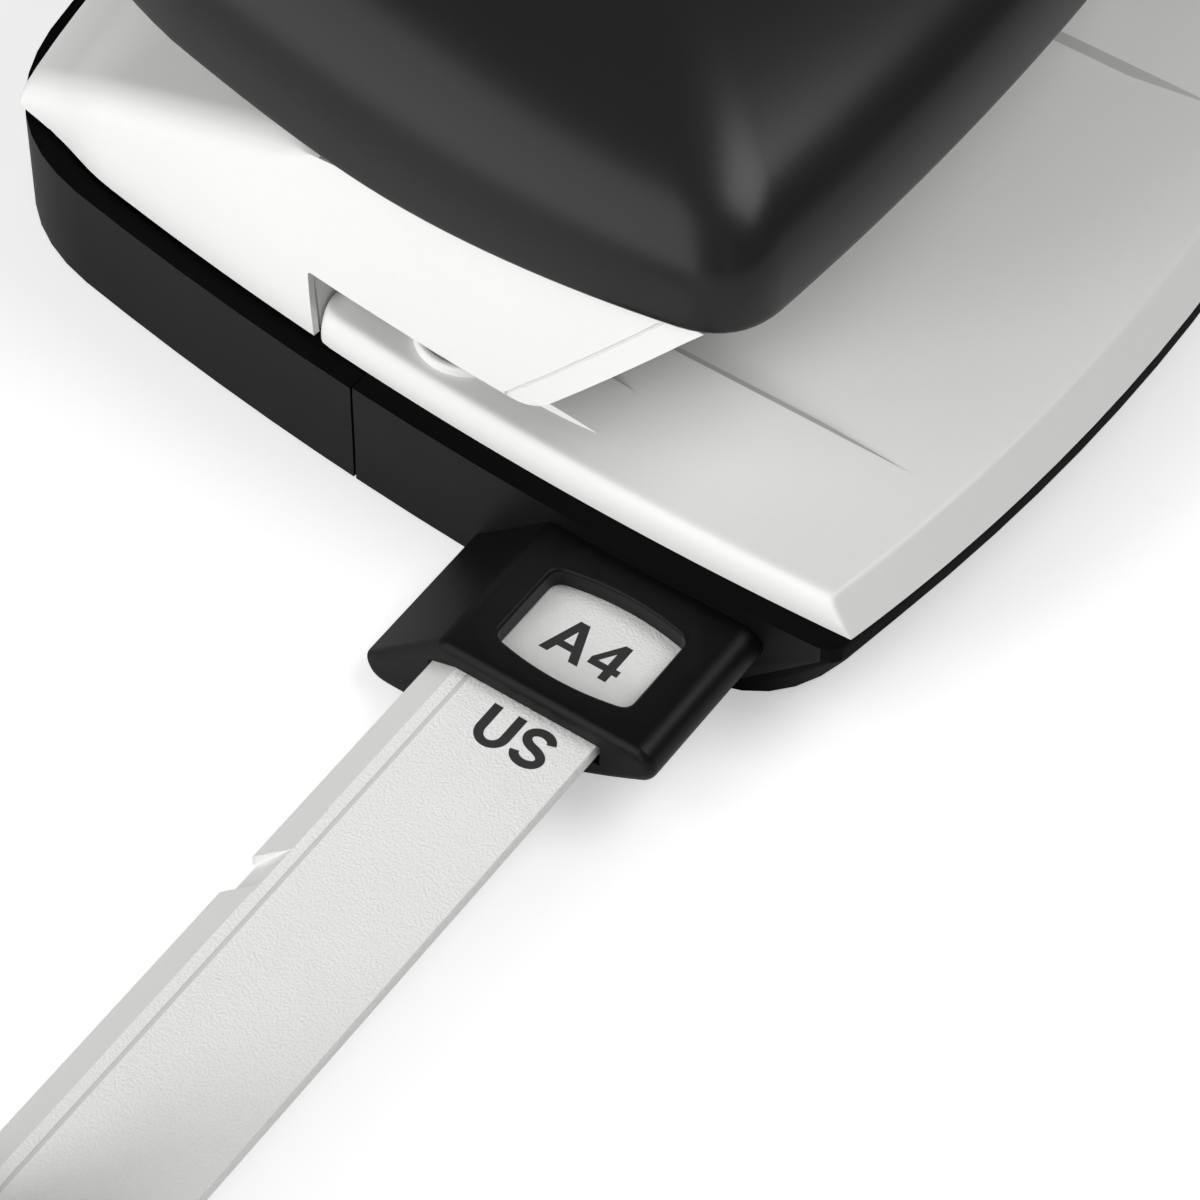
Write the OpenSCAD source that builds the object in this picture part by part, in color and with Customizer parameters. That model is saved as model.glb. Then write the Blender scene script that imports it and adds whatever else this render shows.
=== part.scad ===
// Desktop two-hole paper punch with a pull-out format guide bar.
// Units are millimetres. +Z is up, the paper enters from -Y, the guide bar pulls out towards -X.
// The origin is the middle of the footprint on the table.

/* [Punching] */
// Distance between the two hole centres
hole_spacing = 80; // [79:0.5:80.5]
// Diameter of a punched hole
hole_d = 5.5; // [5:0.1:5.8]
// Distance from the paper's edge to the hole centre
hole_edge = 12; // [11.5:0.1:12.5]
// Clear height of the paper slot at the jaw
slot_h = 5.2; // [5:0.1:5.4]
// Full press angle of the handle
press_angle = 18; // [16:1:18]

/* [Body] */
// Distance from a hole centre to the body's side at its widest place
side_margin = 8.9; // [8.8:0.1:9.6]
// Height of the black base up to its ledge
base_h = 14.5; // [14:0.1:15]
// Height of the deck above the base ledge
deck_rise = 3.5; // [3.3:0.1:3.8]
// Width of the base ledge outside the white body
ledge_w = 2.5; // [1.5:0.1:3]
// Sheet thickness of the deck
sheet = 1.2; // [1:0.1:1.3]
// Sheet thickness of the upper body
body_sheet = 0.8; // [0.7:0.1:0.8]
// How strongly the body walls lean in with height
wall_curve = 0.0058; // [0.005:0.0002:0.006]

/* [Handle] */
// Height of the handle rim above the table at rest
rim_z = 42; // [41.9:0.1:43]
// Distance from a hole centre to the handle's side at its widest place
handle_margin = 8.8; // [8.6:0.1:9.6]
// Height of the handle dome above its rim
dome_h = 20; // [19.6:0.2:23]
// Wall thickness of the handle
handle_wall = 2; // [1.6:0.1:2.2]
// Rearmost place of the handle
handle_end_y = 61; // [60.5:0.5:64]

/* [Guide bar] */
// Paper length that the bar is set to
paper_len = 297; // [292:1:297]
// Thickness of the bar
bar_t = 2.2; // [2:0.1:2.4]
// Width of the bar over its bevelled edge
bar_w = 19.4; // [19:0.1:19.6]
// Length of the bar inside its end stop
bar_len = 117; // [112:1:117]
// Length of the window housing outside the base
housing_len = 18.4; // [18:0.2:20]

/* [Hidden] */

// Fits
play = 0.3;
run_fit = 0.05;
eps = 0.02;
fn_round = 48;
fn_big = 360;
far = 400;

// Plan of the white body: two side arcs, a front arc and a back arc
half_hole = hole_spacing / 2;
body_half_w = half_hole + side_margin;
side_r = 390;
widest_y = -30;
front_r = 234;
front_y = -58.4;
back_r = 160;
back_y = 60;
seam_y = 4.2;
deck_z = base_h + deck_rise;
jaw_z = deck_z + slot_h;
die_y = -3;
stop_y = die_y + hole_edge;
web_t = 1.5;
slot_end_y = stop_y + web_t;
front_bevel = 3.4;
rim_round = 1.8;
scoop_half = 30;
scoop_start = -47.5;
scoop_slope = 1.5 / 25.5;

// Upper body, seen from the side
rake_foot_y = -16.5;
rake_run = 16.8;
rake_top_z = rim_z - 0.4;
rake_ang = atan2(rake_top_z - jaw_z, rake_run);
rake_edge = 1.8;
knee_y = -15;
knee_z = rim_z - 3;
mid_y = 0;
mid_z = rim_z - 3.8;
roof_front_y = 12;
roof_front_z = rim_z - 4.8;
roof_end_y = 57;
roof_fall = 17.7;
roof_power = 1.2;
roof_steps = 9;
roof_lip = 1;
roof_foot_z = base_h + 4;

// Base
foot_h = 0.8;
bow_set = 6;
bow_r = 10;
corner_r = 2;
back_corner = 14;
base_wall = 2.4;
pad_r = 5;
pad_front_x = body_half_w - 11.9;
pad_front_y = front_y + 25.4;
pad_mid_x = body_half_w - 7.9;
pad_mid_y = seam_y - 12.2;
pad_rear_x = body_half_w - 18.9;
pad_rear_y = back_y - 16;
lip_h = 2;

// Guide bar
bar_top = 10;
bar_front_y = -38.7;
bar_back_y = bar_front_y + bar_w;
bar_bevel = 3.35;
bar_edge = 0.2;
bar_chamfer = 0.3;
bar_lip = 0.4;
bar_lip_h = 1.3;
bar_out_x = -paper_len / 2;
bar_in_x = bar_out_x + bar_len;
bar_z = bar_top - bar_t;
channel_end_x = 46;
bar_groove_y = bar_back_y - 4.6;
notch_from_end = 50.5;
notch_x = bar_out_x + notch_from_end;
score_w = 0.3;
score_d = 0.25;
notch_d = 2.3;
notch_floor = 3;
notch_slope = 1.9;

// Leaf spring that holds the bar where it is set
leaf_y = bar_front_y + 7.7;
leaf_z = bar_z - play - 2.2;
leaf_len = 14;
leaf_w = 4;
leaf_t = 0.4;
leaf_rise = 1.5;
leaf_x = -(body_half_w + ledge_w) + base_wall + leaf_len / 2;

// Window housing
housing_top = 12.6;
housing_in_x = -(body_half_w + ledge_w);
housing_out_x = housing_in_x - housing_len;
housing_low = 1;
housing_toe_y = bar_back_y + 7.8;
housing_brow_y = bar_back_y - 2.1;
housing_belly_y = bar_front_y + 8.7;
housing_nose_y = bar_front_y - 6.6;
housing_edge_r = 2.4;
window_x = housing_in_x - 9.35;
window_y = bar_front_y + 6.55;
window_w = 12;
window_l = 15.5;
window_bow = 1;
window_corner = 0.9;
window_flare = 0.4;
window_steps = 5;

// Punch mechanism
pin_r = hole_d / 2;
bore_r = pin_r + run_fit;
pivot_y = -24;
pivot_z = rim_z;
pivot_r = 2.5;
arm = die_y - pivot_y;
bar_rise = arm * tan(press_angle / 2);
press_r = 3;
press_z = pivot_z + bar_rise;
pin_top = press_z - press_r - play;
pin_tip = jaw_z + 0.6;
plate_z = jaw_z + 0.8;
plate_t = 2.5;
plate_front_y = -14;
web_half = half_hole + 3;
bush_r = 4.1;
bush_top = plate_z + plate_t + 1.5;
clip_z = pin_top - 2.4;
clip_t = 0.9;
clip_slit = 1.6;
clip_r = pin_r + 0.65;
groove_r = pin_r - 0.5;
ear_x = 29;
ear_t = 2.5;
ear_r = 5;
cheek_x = ear_x + ear_t + 0.5;
cheek_t = 2;
cheek_r = 5.2;
lever_top = 55;
lever_t = 1.5;
lever_end_y = 20;
boss_x = 20;
boss_r = 3.2;

// Springs
wire = 0.6;
coils = 5.5;
coil_rings = 16;
coil_sides = 6;
spring_play = 0.1;
spring_r = (pin_r + spring_play + wire / 2) / cos(180 / coil_rings);
spring_lo = bush_top + wire / 2;
spring_hi = clip_z - wire / 2 - 0.02;
coil_gap = (spring_hi - spring_lo) / coils - wire;
echo(least_coil_gap_mm = coil_gap);

// Chip drawer
bay_front_y = -13;
bay_half = 46;
bay_floor = 3;
bin_t = 1.4;
bin_top = 12.6;
drawer_top = base_h - play;

// Curves of the plan
function front_at(x, set) = front_y + set + x * x / (2 * front_r);
function back_at(x, grow) = back_y + grow - x * x / (2 * back_r);
function side_at(y, grow) = body_half_w + grow - pow(y - widest_y, 2) / (2 * side_r);
function front_corner(set, grow, k = 0, x = body_half_w) =
    k > 6 ? x : front_corner(set, grow, k + 1, side_at(front_at(x, set), grow));
function back_corner_x(grow, k = 0, x = body_half_w) =
    k > 12 ? x : back_corner_x(grow, k + 1, side_at(back_at(x, grow), grow));
function bez(a, b, c, t) = a * (1 - t) * (1 - t) + b * 2 * t * (1 - t) + c * t * t;

// Half of a base outline, from the middle of the front round to the middle of the back
function half_plan(set, grow, rf, rb, nf = 7, nc = 6, ns = 12, nb = 8, nk = 6) =
    let (xc = front_corner(set, grow),
         yc = front_at(xc, set),
         xb = back_corner_x(grow),
         yb = back_at(xb, grow),
         xf = xc - rf,
         ys = yc + rf,
         ye = yb - rb,
         xk = xb - rb)
    concat(
        [for (i = [0 : nf - 1]) [xf * i / nf, front_at(xf * i / nf, set)]],
        [for (i = [0 : nc]) bez([xf, front_at(xf, set)], [xc, yc], [side_at(ys, grow), ys], i / nc)],
        [for (i = [1 : ns - 1]) let (y = ys + (ye - ys) * i / ns) [side_at(y, grow), y]],
        [for (i = [0 : nb]) bez([side_at(ye, grow), ye], [xb, yb], [xk, back_at(xk, grow)], i / nb)],
        [for (i = [1 : nk]) let (x = xk * (1 - i / nk)) [x, back_at(x, grow)]]);

function mirrored(h) = concat(h, [for (i = [len(h) - 2 : -1 : 1]) [-h[i][0], h[i][1]]]);
function lifted(ring, z) = [for (p = ring) [p[0], p[1], z]];
function middle(ring) = [for (k = [0 : 2]) [for (p = ring) 1] * [for (p = ring) p[k]] / len(ring)];

// One closed skin over a list of rings with equal point counts, closed by a fan at each end
module skin(rings, first, last) {
    n = len(rings[0]);
    m = len(rings);
    pts = concat([for (r = rings) each r], [first, last]);
    walls = [for (k = [0 : m - 2]) for (i = [0 : n - 1])
        let (j = (i + 1) % n, a = k * n, b = a + n)
        each [[a + i, b + i, b + j], [a + i, b + j, a + j]]];
    lids = [for (i = [0 : n - 1])
        let (j = (i + 1) % n, b = (m - 1) * n)
        each [[i, j, m * n], [b + j, b + i, m * n + 1]]];
    polyhedron(points = pts, faces = concat(walls, lids), convexity = 8);
}

// Solid between the two leaning side walls; prof lists [inset, height] from low to high
module between_sides(prof) {
    intersection() {
        side_disc(prof, 1);
        side_disc(prof, -1);
    }
}

module side_disc(prof, sgn) {
    edge = [for (p = prof) [side_r - p[0], p[1]]];
    translate([sgn * (body_half_w - side_r), widest_y, 0])
        rotate_extrude($fn = fn_big)
            polygon(concat([[0, prof[0][1]]], edge, [[0, prof[len(prof) - 1][1]]]));
}

function wall_prof(inset) =
    [for (z = [base_h - 2 : 5 : base_h + 33]) [inset + wall_curve * pow(max(0, z - base_h), 2), z]];

// Extrusion across the whole width of a shape drawn as [y, z]
module across(half_w) {
    translate([-half_w, 0, 0])
        rotate([90, 0, 90])
            linear_extrude(2 * half_w)
                children();
}

module at_holes(x) {
    translate([x, die_y, 0])
        children();
}

// Base: the whole black outline, cut at the seam into the front part and the drawer
module base_solid(grow, z_lo, z_hi) {
    low = mirrored(half_plan(bow_set, grow, bow_r, back_corner));
    mid = mirrored(half_plan(0, grow, corner_r, back_corner));
    rings = [lifted(low, z_lo), lifted(mid, z_hi - lip_h), lifted(mid, z_hi)];
    skin(rings, middle(rings[0]), middle(rings[2]));
}

module front_half(y) {
    translate([-far / 2, y - far, -far / 2])
        cube(far);
}

// Section of the bar as [y, z]: bevelled at the back, with a low lip at the front
bevel_slope = (bar_t - bar_edge) / bar_bevel;
function bar_back(g) =
    let (h = g * sqrt(1 + bevel_slope * bevel_slope))
    [[bar_back_y + g, bar_z - g], [bar_back_y + g, bar_z + bar_edge + h - g * bevel_slope],
     [bar_back_y - bar_bevel + (h - g) / bevel_slope, bar_top + g]];
function bar_section() = concat([[bar_front_y - bar_lip, bar_z]], bar_back(0),
    [[bar_front_y + bar_chamfer, bar_top], [bar_front_y, bar_top - bar_chamfer],
     [bar_front_y, bar_z + bar_lip_h], [bar_front_y - bar_lip, bar_z + bar_lip_h]]);
function channel_section() = concat([[bar_front_y - bar_lip - play, bar_z - play]], bar_back(play),
    [[bar_front_y - bar_lip - play, bar_top + play]]);

module along_bar(x, l, section) {
    translate([x, 0, 0])
        rotate([90, 0, 90])
            linear_extrude(l)
                polygon(section);
}

module bar_channel() {
    along_bar(housing_out_x - 1, channel_end_x - housing_out_x + 1, channel_section());
}

screw_front_x = body_half_w - 14.9;
screw_front_y = front_y + 16.8;
screw_rear_x = body_half_w - 10.9;
screw_rear_y = bar_back_y + 3.3;
screw_spots = [for (s = [-1, 1]) each [[s * screw_front_x, screw_front_y], [s * screw_rear_x, screw_rear_y]]];
screw_post_r = 3.2;
screw_r = 1.5;
screw_head_r = 2.7;
screw_head_h = 1.6;
cross_l = screw_head_r * 1.2;
cross_w = screw_r * 0.4;
cross_d = screw_head_h * 0.55;
housing_stub = 6;

module base_front() {
    color([0.07, 0.07, 0.075])
    difference() {
        union() {
            intersection() {
                base_solid(ledge_w, foot_h, base_h);
                front_half(seam_y);
            }
            translate([housing_in_x, 0, 0])
                rotate([90, 0, 90])
                    linear_extrude(housing_stub)
                        housing_side_view();
            for (p = screw_spots)
                translate([p[0], p[1], base_h - sheet])
                    cylinder(r = screw_post_r, h = deck_z - base_h, $fn = fn_round);
        }
        bar_channel();
        translate([-bay_half, bay_front_y, bay_floor])
            cube([2 * bay_half, far, far]);
        for (p = screw_spots)
            translate([p[0], p[1], 0]) {
                cylinder(r = screw_r, h = deck_z - sheet, $fn = fn_round);
                cylinder(r = screw_head_r, h = foot_h + screw_head_h, $fn = fn_round);
            }
        detent_pocket();
    }
}

module detent_pocket() {
    translate([leaf_x - leaf_len / 2, leaf_y, leaf_z])
        cube([leaf_len, leaf_w, 2 * leaf_rise]);
}

module detent_spring() {
    lr = (leaf_len * leaf_len / 4 + leaf_rise * leaf_rise) / (2 * leaf_rise);
    color([0.72, 0.72, 0.74])
    translate([leaf_x, leaf_y + leaf_w, leaf_z + leaf_rise])
        rotate([90, 0, 0])
            linear_extrude(leaf_w)
                intersection() {
                    difference() {
                        translate([0, -lr])
                            circle(r = lr, $fn = fn_big);
                        translate([0, -lr])
                            circle(r = lr - leaf_t, $fn = fn_big);
                    }
                    translate([-leaf_len / 2, -leaf_rise])
                        square([leaf_len, 2 * leaf_rise]);
                }
}

module base_screws() {
    color([0.6, 0.6, 0.62])
    for (p = screw_spots)
        translate([p[0], p[1], foot_h])
            difference() {
                union() {
                    cylinder(r = screw_head_r, h = screw_head_h, $fn = fn_round);
                    cylinder(r = screw_r, h = deck_z - sheet - foot_h, $fn = fn_round);
                }
                for (a = [0, 90])
                    rotate(a)
                        translate([-cross_l / 2, -cross_w / 2, -cross_d])
                            cube([cross_l, cross_w, 2 * cross_d]);
            }
}

module pads(spots) {
    color([0.16, 0.16, 0.16])
    for (p = spots)
        translate([p[0], p[1], 0])
            cylinder(r = pad_r, h = foot_h, $fn = fn_round);
}

module base_feet() {
    pads([for (s = [-1, 1]) each [[s * pad_front_x, pad_front_y], [s * pad_mid_x, pad_mid_y]],
        [0, seam_y - pad_r - play]]);
}

module drawer_feet() {
    pads([for (s = [-1, 1]) [s * pad_rear_x, pad_rear_y]]);
}

// Chip drawer: the rear of the base with a bin that reaches forward under the dies
grip_r = 3.2;
grip_half = 18;
grip_z = foot_h + 5.5;
bin_lap = 2;

module chip_drawer() {
    color([0.08, 0.08, 0.085])
    difference() {
        union() {
            intersection() {
                base_solid(ledge_w, foot_h, drawer_top);
                translate([-far / 2, seam_y + play, 0])
                    cube(far);
            }
            translate([-bay_half + play, bay_front_y + play, bay_floor + play])
                cube([2 * (bay_half - play), seam_y - bay_front_y + bin_lap, bin_top - bay_floor - play]);
        }
        intersection() {
            base_solid(ledge_w - base_wall, foot_h, drawer_top);
            translate([-far / 2, seam_y - eps, bay_floor + play + bin_t])
                cube(far);
            translate([-bay_half + play + bin_t, 0, 0])
                cube([2 * (bay_half - play - bin_t), back_y - base_wall, far]);
        }
        translate([-bay_half + play + bin_t, bay_front_y + play + bin_t, bay_floor + play + bin_t])
            cube([2 * (bay_half - play - bin_t), seam_y - bay_front_y, far]);
        translate([0, back_y + ledge_w, grip_z])
            rotate([0, 90, 0])
                cylinder(r = grip_r, h = 2 * grip_half, center = true, $fn = fn_round);
    }
}

// Deck: white sheet with a rolled side rim, a front bevel, a sunk middle and a raised ring at each die
function deck_prof(inset, top) =
    [[inset, base_h], [inset + rim_round * 0.06, base_h + 0.3 * (top - base_h)],
     [inset + rim_round * 0.25, base_h + 0.63 * (top - base_h)],
     [inset + rim_round * 0.56, base_h + 0.86 * (top - base_h)], [inset + rim_round, top]];

module deck_solid(inset, top, low) {
    intersection() {
        between_sides(concat([[inset, low]], deck_prof(inset, top)));
        translate([0, front_y + front_r, 0])
            rotate_extrude($fn = fn_big)
                polygon([[0, low], [front_r - inset, low], [front_r - inset, base_h],
                         [front_r - inset - front_bevel, top], [0, top]]);
        front_half(slot_end_y - play);
    }
}

tongue_half = half_hole * 0.9;
tongue_len = 33;
tongue_lap = 0.8;
boss_ring_r = 6.2;
boss_rise = 0.6;
ramp_w = 6.4;
ramp_start = -21.7;
die_r = 4.6;
scoop_end = slot_end_y - play;
scoop_low = deck_z - (scoop_end - scoop_start) * scoop_slope;

module scoop_trough(grow) {
    across(scoop_half + grow)
        polygon([[scoop_start, deck_z], [scoop_end + (grow > 0 ? 0 : 1), deck_z + (grow > 0 ? 0 : 1)],
                 [scoop_end + (grow > 0 ? 0 : 1), scoop_low - grow], [scoop_start, deck_z - grow]]);
}

module deck_plate() {
    color([0.93, 0.93, 0.92])
    difference() {
        union() {
            difference() {
                deck_solid(0, deck_z, base_h);
                deck_solid(sheet, deck_z - sheet, base_h - 1);
            }
            scoop_trough(sheet);
            translate([-tongue_half, stop_y - tongue_lap, deck_z - sheet])
                cube([2 * tongue_half, tongue_len, sheet]);
            for (s = [-1, 1])
                at_holes(s * half_hole) {
                    translate([0, 0, deck_z - sheet])
                        cylinder(r = boss_ring_r, h = sheet + boss_rise, $fn = fn_round);
                    translate([-ramp_w / 2, 0, 0])
                        rotate([90, 0, 90])
                            linear_extrude(ramp_w)
                                polygon([[ramp_start - die_y, deck_z - sheet / 2], [0, deck_z - sheet / 2],
                                         [0, deck_z + boss_rise], [ramp_start - die_y, deck_z]]);
                }
        }
        intersection() {
            scoop_trough(0);
            front_half(stop_y - tongue_lap);
        }
        for (s = [-1, 1])
            at_holes(s * half_hole)
                cylinder(r = die_r, h = far, $fn = fn_round);
    }
}

die_sink = 0.2;
relief_r = bore_r + 0.5;
relief_h = 1.6;

module die_ring(x) {
    color([0.55, 0.56, 0.58])
    at_holes(x)
        translate([0, 0, base_h - die_sink])
            difference() {
                cylinder(r = die_r, h = deck_z + boss_rise - base_h + die_sink, $fn = fn_round);
                translate([0, 0, -die_r])
                    cylinder(r = bore_r, h = far, $fn = fn_round);
                translate([0, 0, -relief_h])
                    cylinder(r = relief_r, h = 2 * relief_h, $fn = fn_round);
            }
}

module die_left() {
    die_ring(-half_hole);
}

module die_right() {
    die_ring(half_hole);
}

// Upper body: leaning side walls, a raked front sheet and a roof that falls to the back
function roof_at(y) = roof_front_z
    - roof_fall * pow(max(0, y - roof_front_y) / (roof_end_y - roof_front_y), roof_power);
function roof_line(drop) = [for (i = [0 : roof_steps])
    let (y = roof_front_y + (roof_end_y - roof_front_y) * i / roof_steps)
    [y, roof_at(y) - drop]];
roof_drop = body_sheet * 1.15;

module wall_side_view() {
    polygon(concat([[slot_end_y, base_h + play], [slot_end_y, jaw_z], [rake_foot_y + 1.3, jaw_z],
        [rake_foot_y - 0.3, jaw_z + 0.5], [rake_foot_y - 1.6, jaw_z + rake_edge],
        [rake_foot_y - rake_run, rake_top_z], [rake_foot_y - rake_run + 2.8, rake_top_z - 0.2],
        [knee_y, knee_z], [mid_y, mid_z]], roof_line(0),
        [[back_y + roof_lip, roof_foot_z], [back_y + roof_lip, base_h + play]]));
}

module back_limit(inset) {
    translate([0, back_y - back_r - inset, -1])
        cylinder(r = back_r, h = far, $fn = fn_big);
}

module upper_body() {
    color([0.95, 0.95, 0.94]) {
        difference() {
            intersection() {
                between_sides(wall_prof(0));
                across(far / 2)
                    wall_side_view();
                back_limit(0);
            }
            intersection() {
                between_sides(wall_prof(body_sheet));
                across(far / 2)
                    polygon(concat([[-far / 2, -1], [-far / 2, far], [roof_front_y, far]],
                        roof_line(roof_drop),
                        [[back_y + roof_lip, roof_foot_z - body_sheet], [back_y + roof_lip, -1]]));
                back_limit(body_sheet);
            }
        }
        intersection() {
            between_sides(wall_prof(body_sheet));
            across(far / 2)
                rake_strip();
        }
    }
}

// Raked front sheet between the side walls, as [y, z]
module rake_strip() {
    translate([rake_foot_y - 1.6, jaw_z + rake_edge])
        rotate(180 - rake_ang)
            translate([0, -sheet])
                square([(rake_top_z - jaw_z - rake_edge) / sin(rake_ang) - sheet, sheet]);
}

// Steel carrier: the jaw plate, the web that the paper stops at and two pivot ears
module punch_carrier() {
    color([0.66, 0.67, 0.69])
    difference() {
        union() {
            intersection() {
                between_sides(wall_prof(body_sheet));
                translate([-far / 2, plate_front_y, plate_z])
                    cube([far, stop_y + web_t - plate_front_y, plate_t]);
            }
            translate([-web_half, stop_y, deck_z])
                cube([2 * web_half, web_t, plate_z - deck_z]);
            for (s = [-1, 1])
                translate([s * (ear_x + ear_t / 2) - ear_t / 2, 0, 0])
                    rotate([90, 0, 90])
                        linear_extrude(ear_t) {
                            translate([pivot_y, pivot_z])
                                circle(r = ear_r, $fn = fn_round);
                            polygon([[plate_front_y, plate_z + 1], [0, plate_z + 1], [pivot_y + ear_r * 0.6,
                                pivot_z + ear_r * 0.8], [pivot_y - ear_r * 0.6, pivot_z - ear_r * 0.8]]);
                        }
        }
        for (s = [-1, 1])
            at_holes(s * half_hole)
                cylinder(r = bush_r, h = far, $fn = fn_round);
        translate([0, pivot_y, pivot_z])
            rotate([0, 90, 0])
                cylinder(r = pivot_r, h = far, center = true, $fn = fn_round);
    }
}

post_x = half_hole * 0.6;
post_set = 15;
post_y = roof_front_y + post_set;
post_spots = [[post_x, post_y], [-post_x, post_y]];
post_r = 4;
rivet_r = post_r * 0.65;
rivet_tip_r = post_r * 0.45;
rivet_h = sheet * 0.75;

module roof_posts() {
    color([0.62, 0.63, 0.65])
    intersection() {
        for (p = post_spots)
            translate([p[0], p[1], deck_z])
                cylinder(r = post_r, h = rim_z - deck_z, $fn = fn_round);
        across(far / 2)
            polygon(concat([[-far / 2, -1], [-far / 2, far], [roof_front_y, far]],
                roof_line(roof_drop), [[back_y, -1]]));
    }
}

module post_rivets() {
    color([0.8, 0.8, 0.8])
    for (p = post_spots)
        translate([p[0], p[1], deck_z - sheet])
            rotate([180, 0, 0])
                cylinder(r1 = rivet_r, r2 = rivet_tip_r, h = rivet_h, $fn = fn_round);
}

bush_low = jaw_z + 0.1;

module bush(x) {
    color([0.78, 0.62, 0.32])
    at_holes(x)
        difference() {
            translate([0, 0, bush_low])
                cylinder(r = bush_r, h = bush_top - bush_low, $fn = fn_round);
            cylinder(r = bore_r, h = far, $fn = fn_round);
        }
}

module guide_bush_left() {
    bush(-half_hole);
}

module guide_bush_right() {
    bush(half_hole);
}

// Punch pin with a notched cutting tip and a ring groove under its head
pin_chamfer = 0.4;
tip_notch = 4;
tip_set = 2.1;

module pin(x) {
    color([0.78, 0.79, 0.8])
    at_holes(x)
        difference() {
            translate([0, 0, pin_tip]) {
                cylinder(r = pin_r, h = pin_top - pin_tip - pin_chamfer, $fn = fn_round);
                translate([0, 0, pin_top - pin_tip - pin_chamfer])
                    cylinder(r1 = pin_r, r2 = pin_r - pin_chamfer, h = pin_chamfer, $fn = fn_round);
            }
            translate([0, 0, pin_tip - tip_set])
                rotate([45, 0, 0])
                    cube([3 * pin_r, tip_notch, tip_notch], center = true);
            translate([0, 0, clip_z])
                difference() {
                    cylinder(r = 2 * pin_r, h = clip_t, $fn = fn_round);
                    translate([0, 0, -clip_t])
                        cylinder(r = groove_r, h = 3 * clip_t, $fn = fn_round);
                }
        }
}

module punch_pin_left() {
    pin(-half_hole);
}

module punch_pin_right() {
    pin(half_hole);
}

module clip(x) {
    color([0.45, 0.45, 0.47])
    at_holes(x)
        translate([0, 0, clip_z])
            difference() {
                cylinder(r = clip_r, h = clip_t, $fn = fn_round);
                translate([0, 0, -clip_t])
                    cylinder(r = groove_r, h = 3 * clip_t, $fn = fn_round);
                translate([-clip_slit / 2, 0, -clip_t])
                    cube([clip_slit, 2 * clip_r, 3 * clip_t]);
            }
}

module pin_clip_left() {
    clip(-half_hole);
}

module pin_clip_right() {
    clip(half_hole);
}

// Return spring wound round a pin as one unbroken tube
module coil(x) {
    steps = round(coils * coil_rings);
    rise = (spring_hi - spring_lo) / steps;
    rings = [for (i = [0 : steps])
        let (a = 360 * i / coil_rings, z = spring_lo + rise * i)
        [for (k = [0 : coil_sides - 1])
            let (b = 360 * (k + 0.5) / coil_sides, r = spring_r + wire / 2 * cos(b))
            [r * cos(a), r * sin(a), z + wire / 2 * sin(b)]]];
    color([0.7, 0.71, 0.73])
    at_holes(x)
        skin(rings, middle(rings[0]), middle(rings[steps]));
}

module pin_spring_left() {
    coil(-half_hole);
}

module pin_spring_right() {
    coil(half_hole);
}

pin_over = 2.5;
pin_half = cheek_x + cheek_t + pin_over;
snap_r = pivot_r + 1.7;
snap_t = 0.8;
snap_slit = 1.4;
snap_set = 1.2;

module along_pivot(len) {
    translate([0, pivot_y, pivot_z])
        rotate([0, 90, 0])
            cylinder(r = pivot_r, h = len, center = true, $fn = fn_round);
}

module pivot_pin() {
    color([0.75, 0.76, 0.78])
        along_pivot(2 * pin_half);
}

module pivot_clips() {
    color([0.4, 0.4, 0.42])
    for (s = [-1, 1])
        translate([s * (pin_half - snap_set), pivot_y, pivot_z])
            rotate([0, 90, 0])
                difference() {
                    cylinder(r = snap_r, h = snap_t, center = true, $fn = fn_round);
                    cylinder(r = pivot_r, h = 3 * snap_t, center = true, $fn = fn_round);
                    translate([-far / 2 - pivot_r * 0.4, 0, 0])
                        cube([far, snap_slit, 3 * snap_t], center = true);
                }
}

// Handle: a domed cap over the rim outline, one closed skin of inner and outer rings
handle_half_w = half_hole + handle_margin;
handle_front_y = -39.9;
handle_front_r = 376;
handle_wide_y = -3;
handle_side_r = 140;
handle_rear_r = 260;
handle_back_r = 90;
handle_mid_y = 8;
dome_steep = 3.5;
dome_round = 0.4;
rim_knee_y = 2;
rim_knee_r = 8;
rim_slope = 0.1;
crown_h = 3;
crown_y = 6;
crown_l = 24;
crown_tilt = 0.04;

function h_front(x, t) = handle_front_y + t + x * x / (2 * handle_front_r);
function h_back(x, t) = handle_end_y - t - x * x / (2 * handle_back_r);
function h_side(y, t) = handle_half_w - t
    - (y < handle_wide_y ? pow(y - handle_wide_y, 2) / (2 * handle_side_r)
        : pow(y - handle_wide_y, 2) / (2 * handle_rear_r));
function h_fc(t, k = 0, x = handle_half_w) = k > 8 ? x : h_fc(t, k + 1, h_side(h_front(x, t), t));
function h_bc(t, k = 0, x = handle_half_w) = k > 14 ? x : h_bc(t, k + 1, h_side(h_back(x, t), t));
function h_half(t, rf, rb, nf = 6, nc = 5, ns = 10, nb = 8, nk = 4) =
    let (xc = h_fc(t),
         yc = h_front(xc, t),
         xb = h_bc(t),
         yb = h_back(xb, t),
         xf = xc - rf,
         ys = yc + rf,
         ye = yb - rb,
         xk = xb - rb)
    concat(
        [for (i = [0 : nf - 1]) [xf * i / nf, h_front(xf * i / nf, t)]],
        [for (i = [0 : nc]) bez([xf, h_front(xf, t)], [xc, yc], [h_side(ys, t), ys], i / nc)],
        [for (i = [1 : ns - 1]) let (y = ys + (ye - ys) * i / ns) [h_side(y, t), y]],
        [for (i = [0 : nb]) bez([h_side(ye, t), ye], [xb, yb], [xk, h_back(xk, t)], i / nb)],
        [for (i = [1 : nk]) let (x = xk * (1 - i / nk)) [x, h_back(x, t)]]);
function rim_at(y) = rim_z + rim_slope * (norm([y - rim_knee_y, rim_knee_r]) + y - rim_knee_y);
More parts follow.
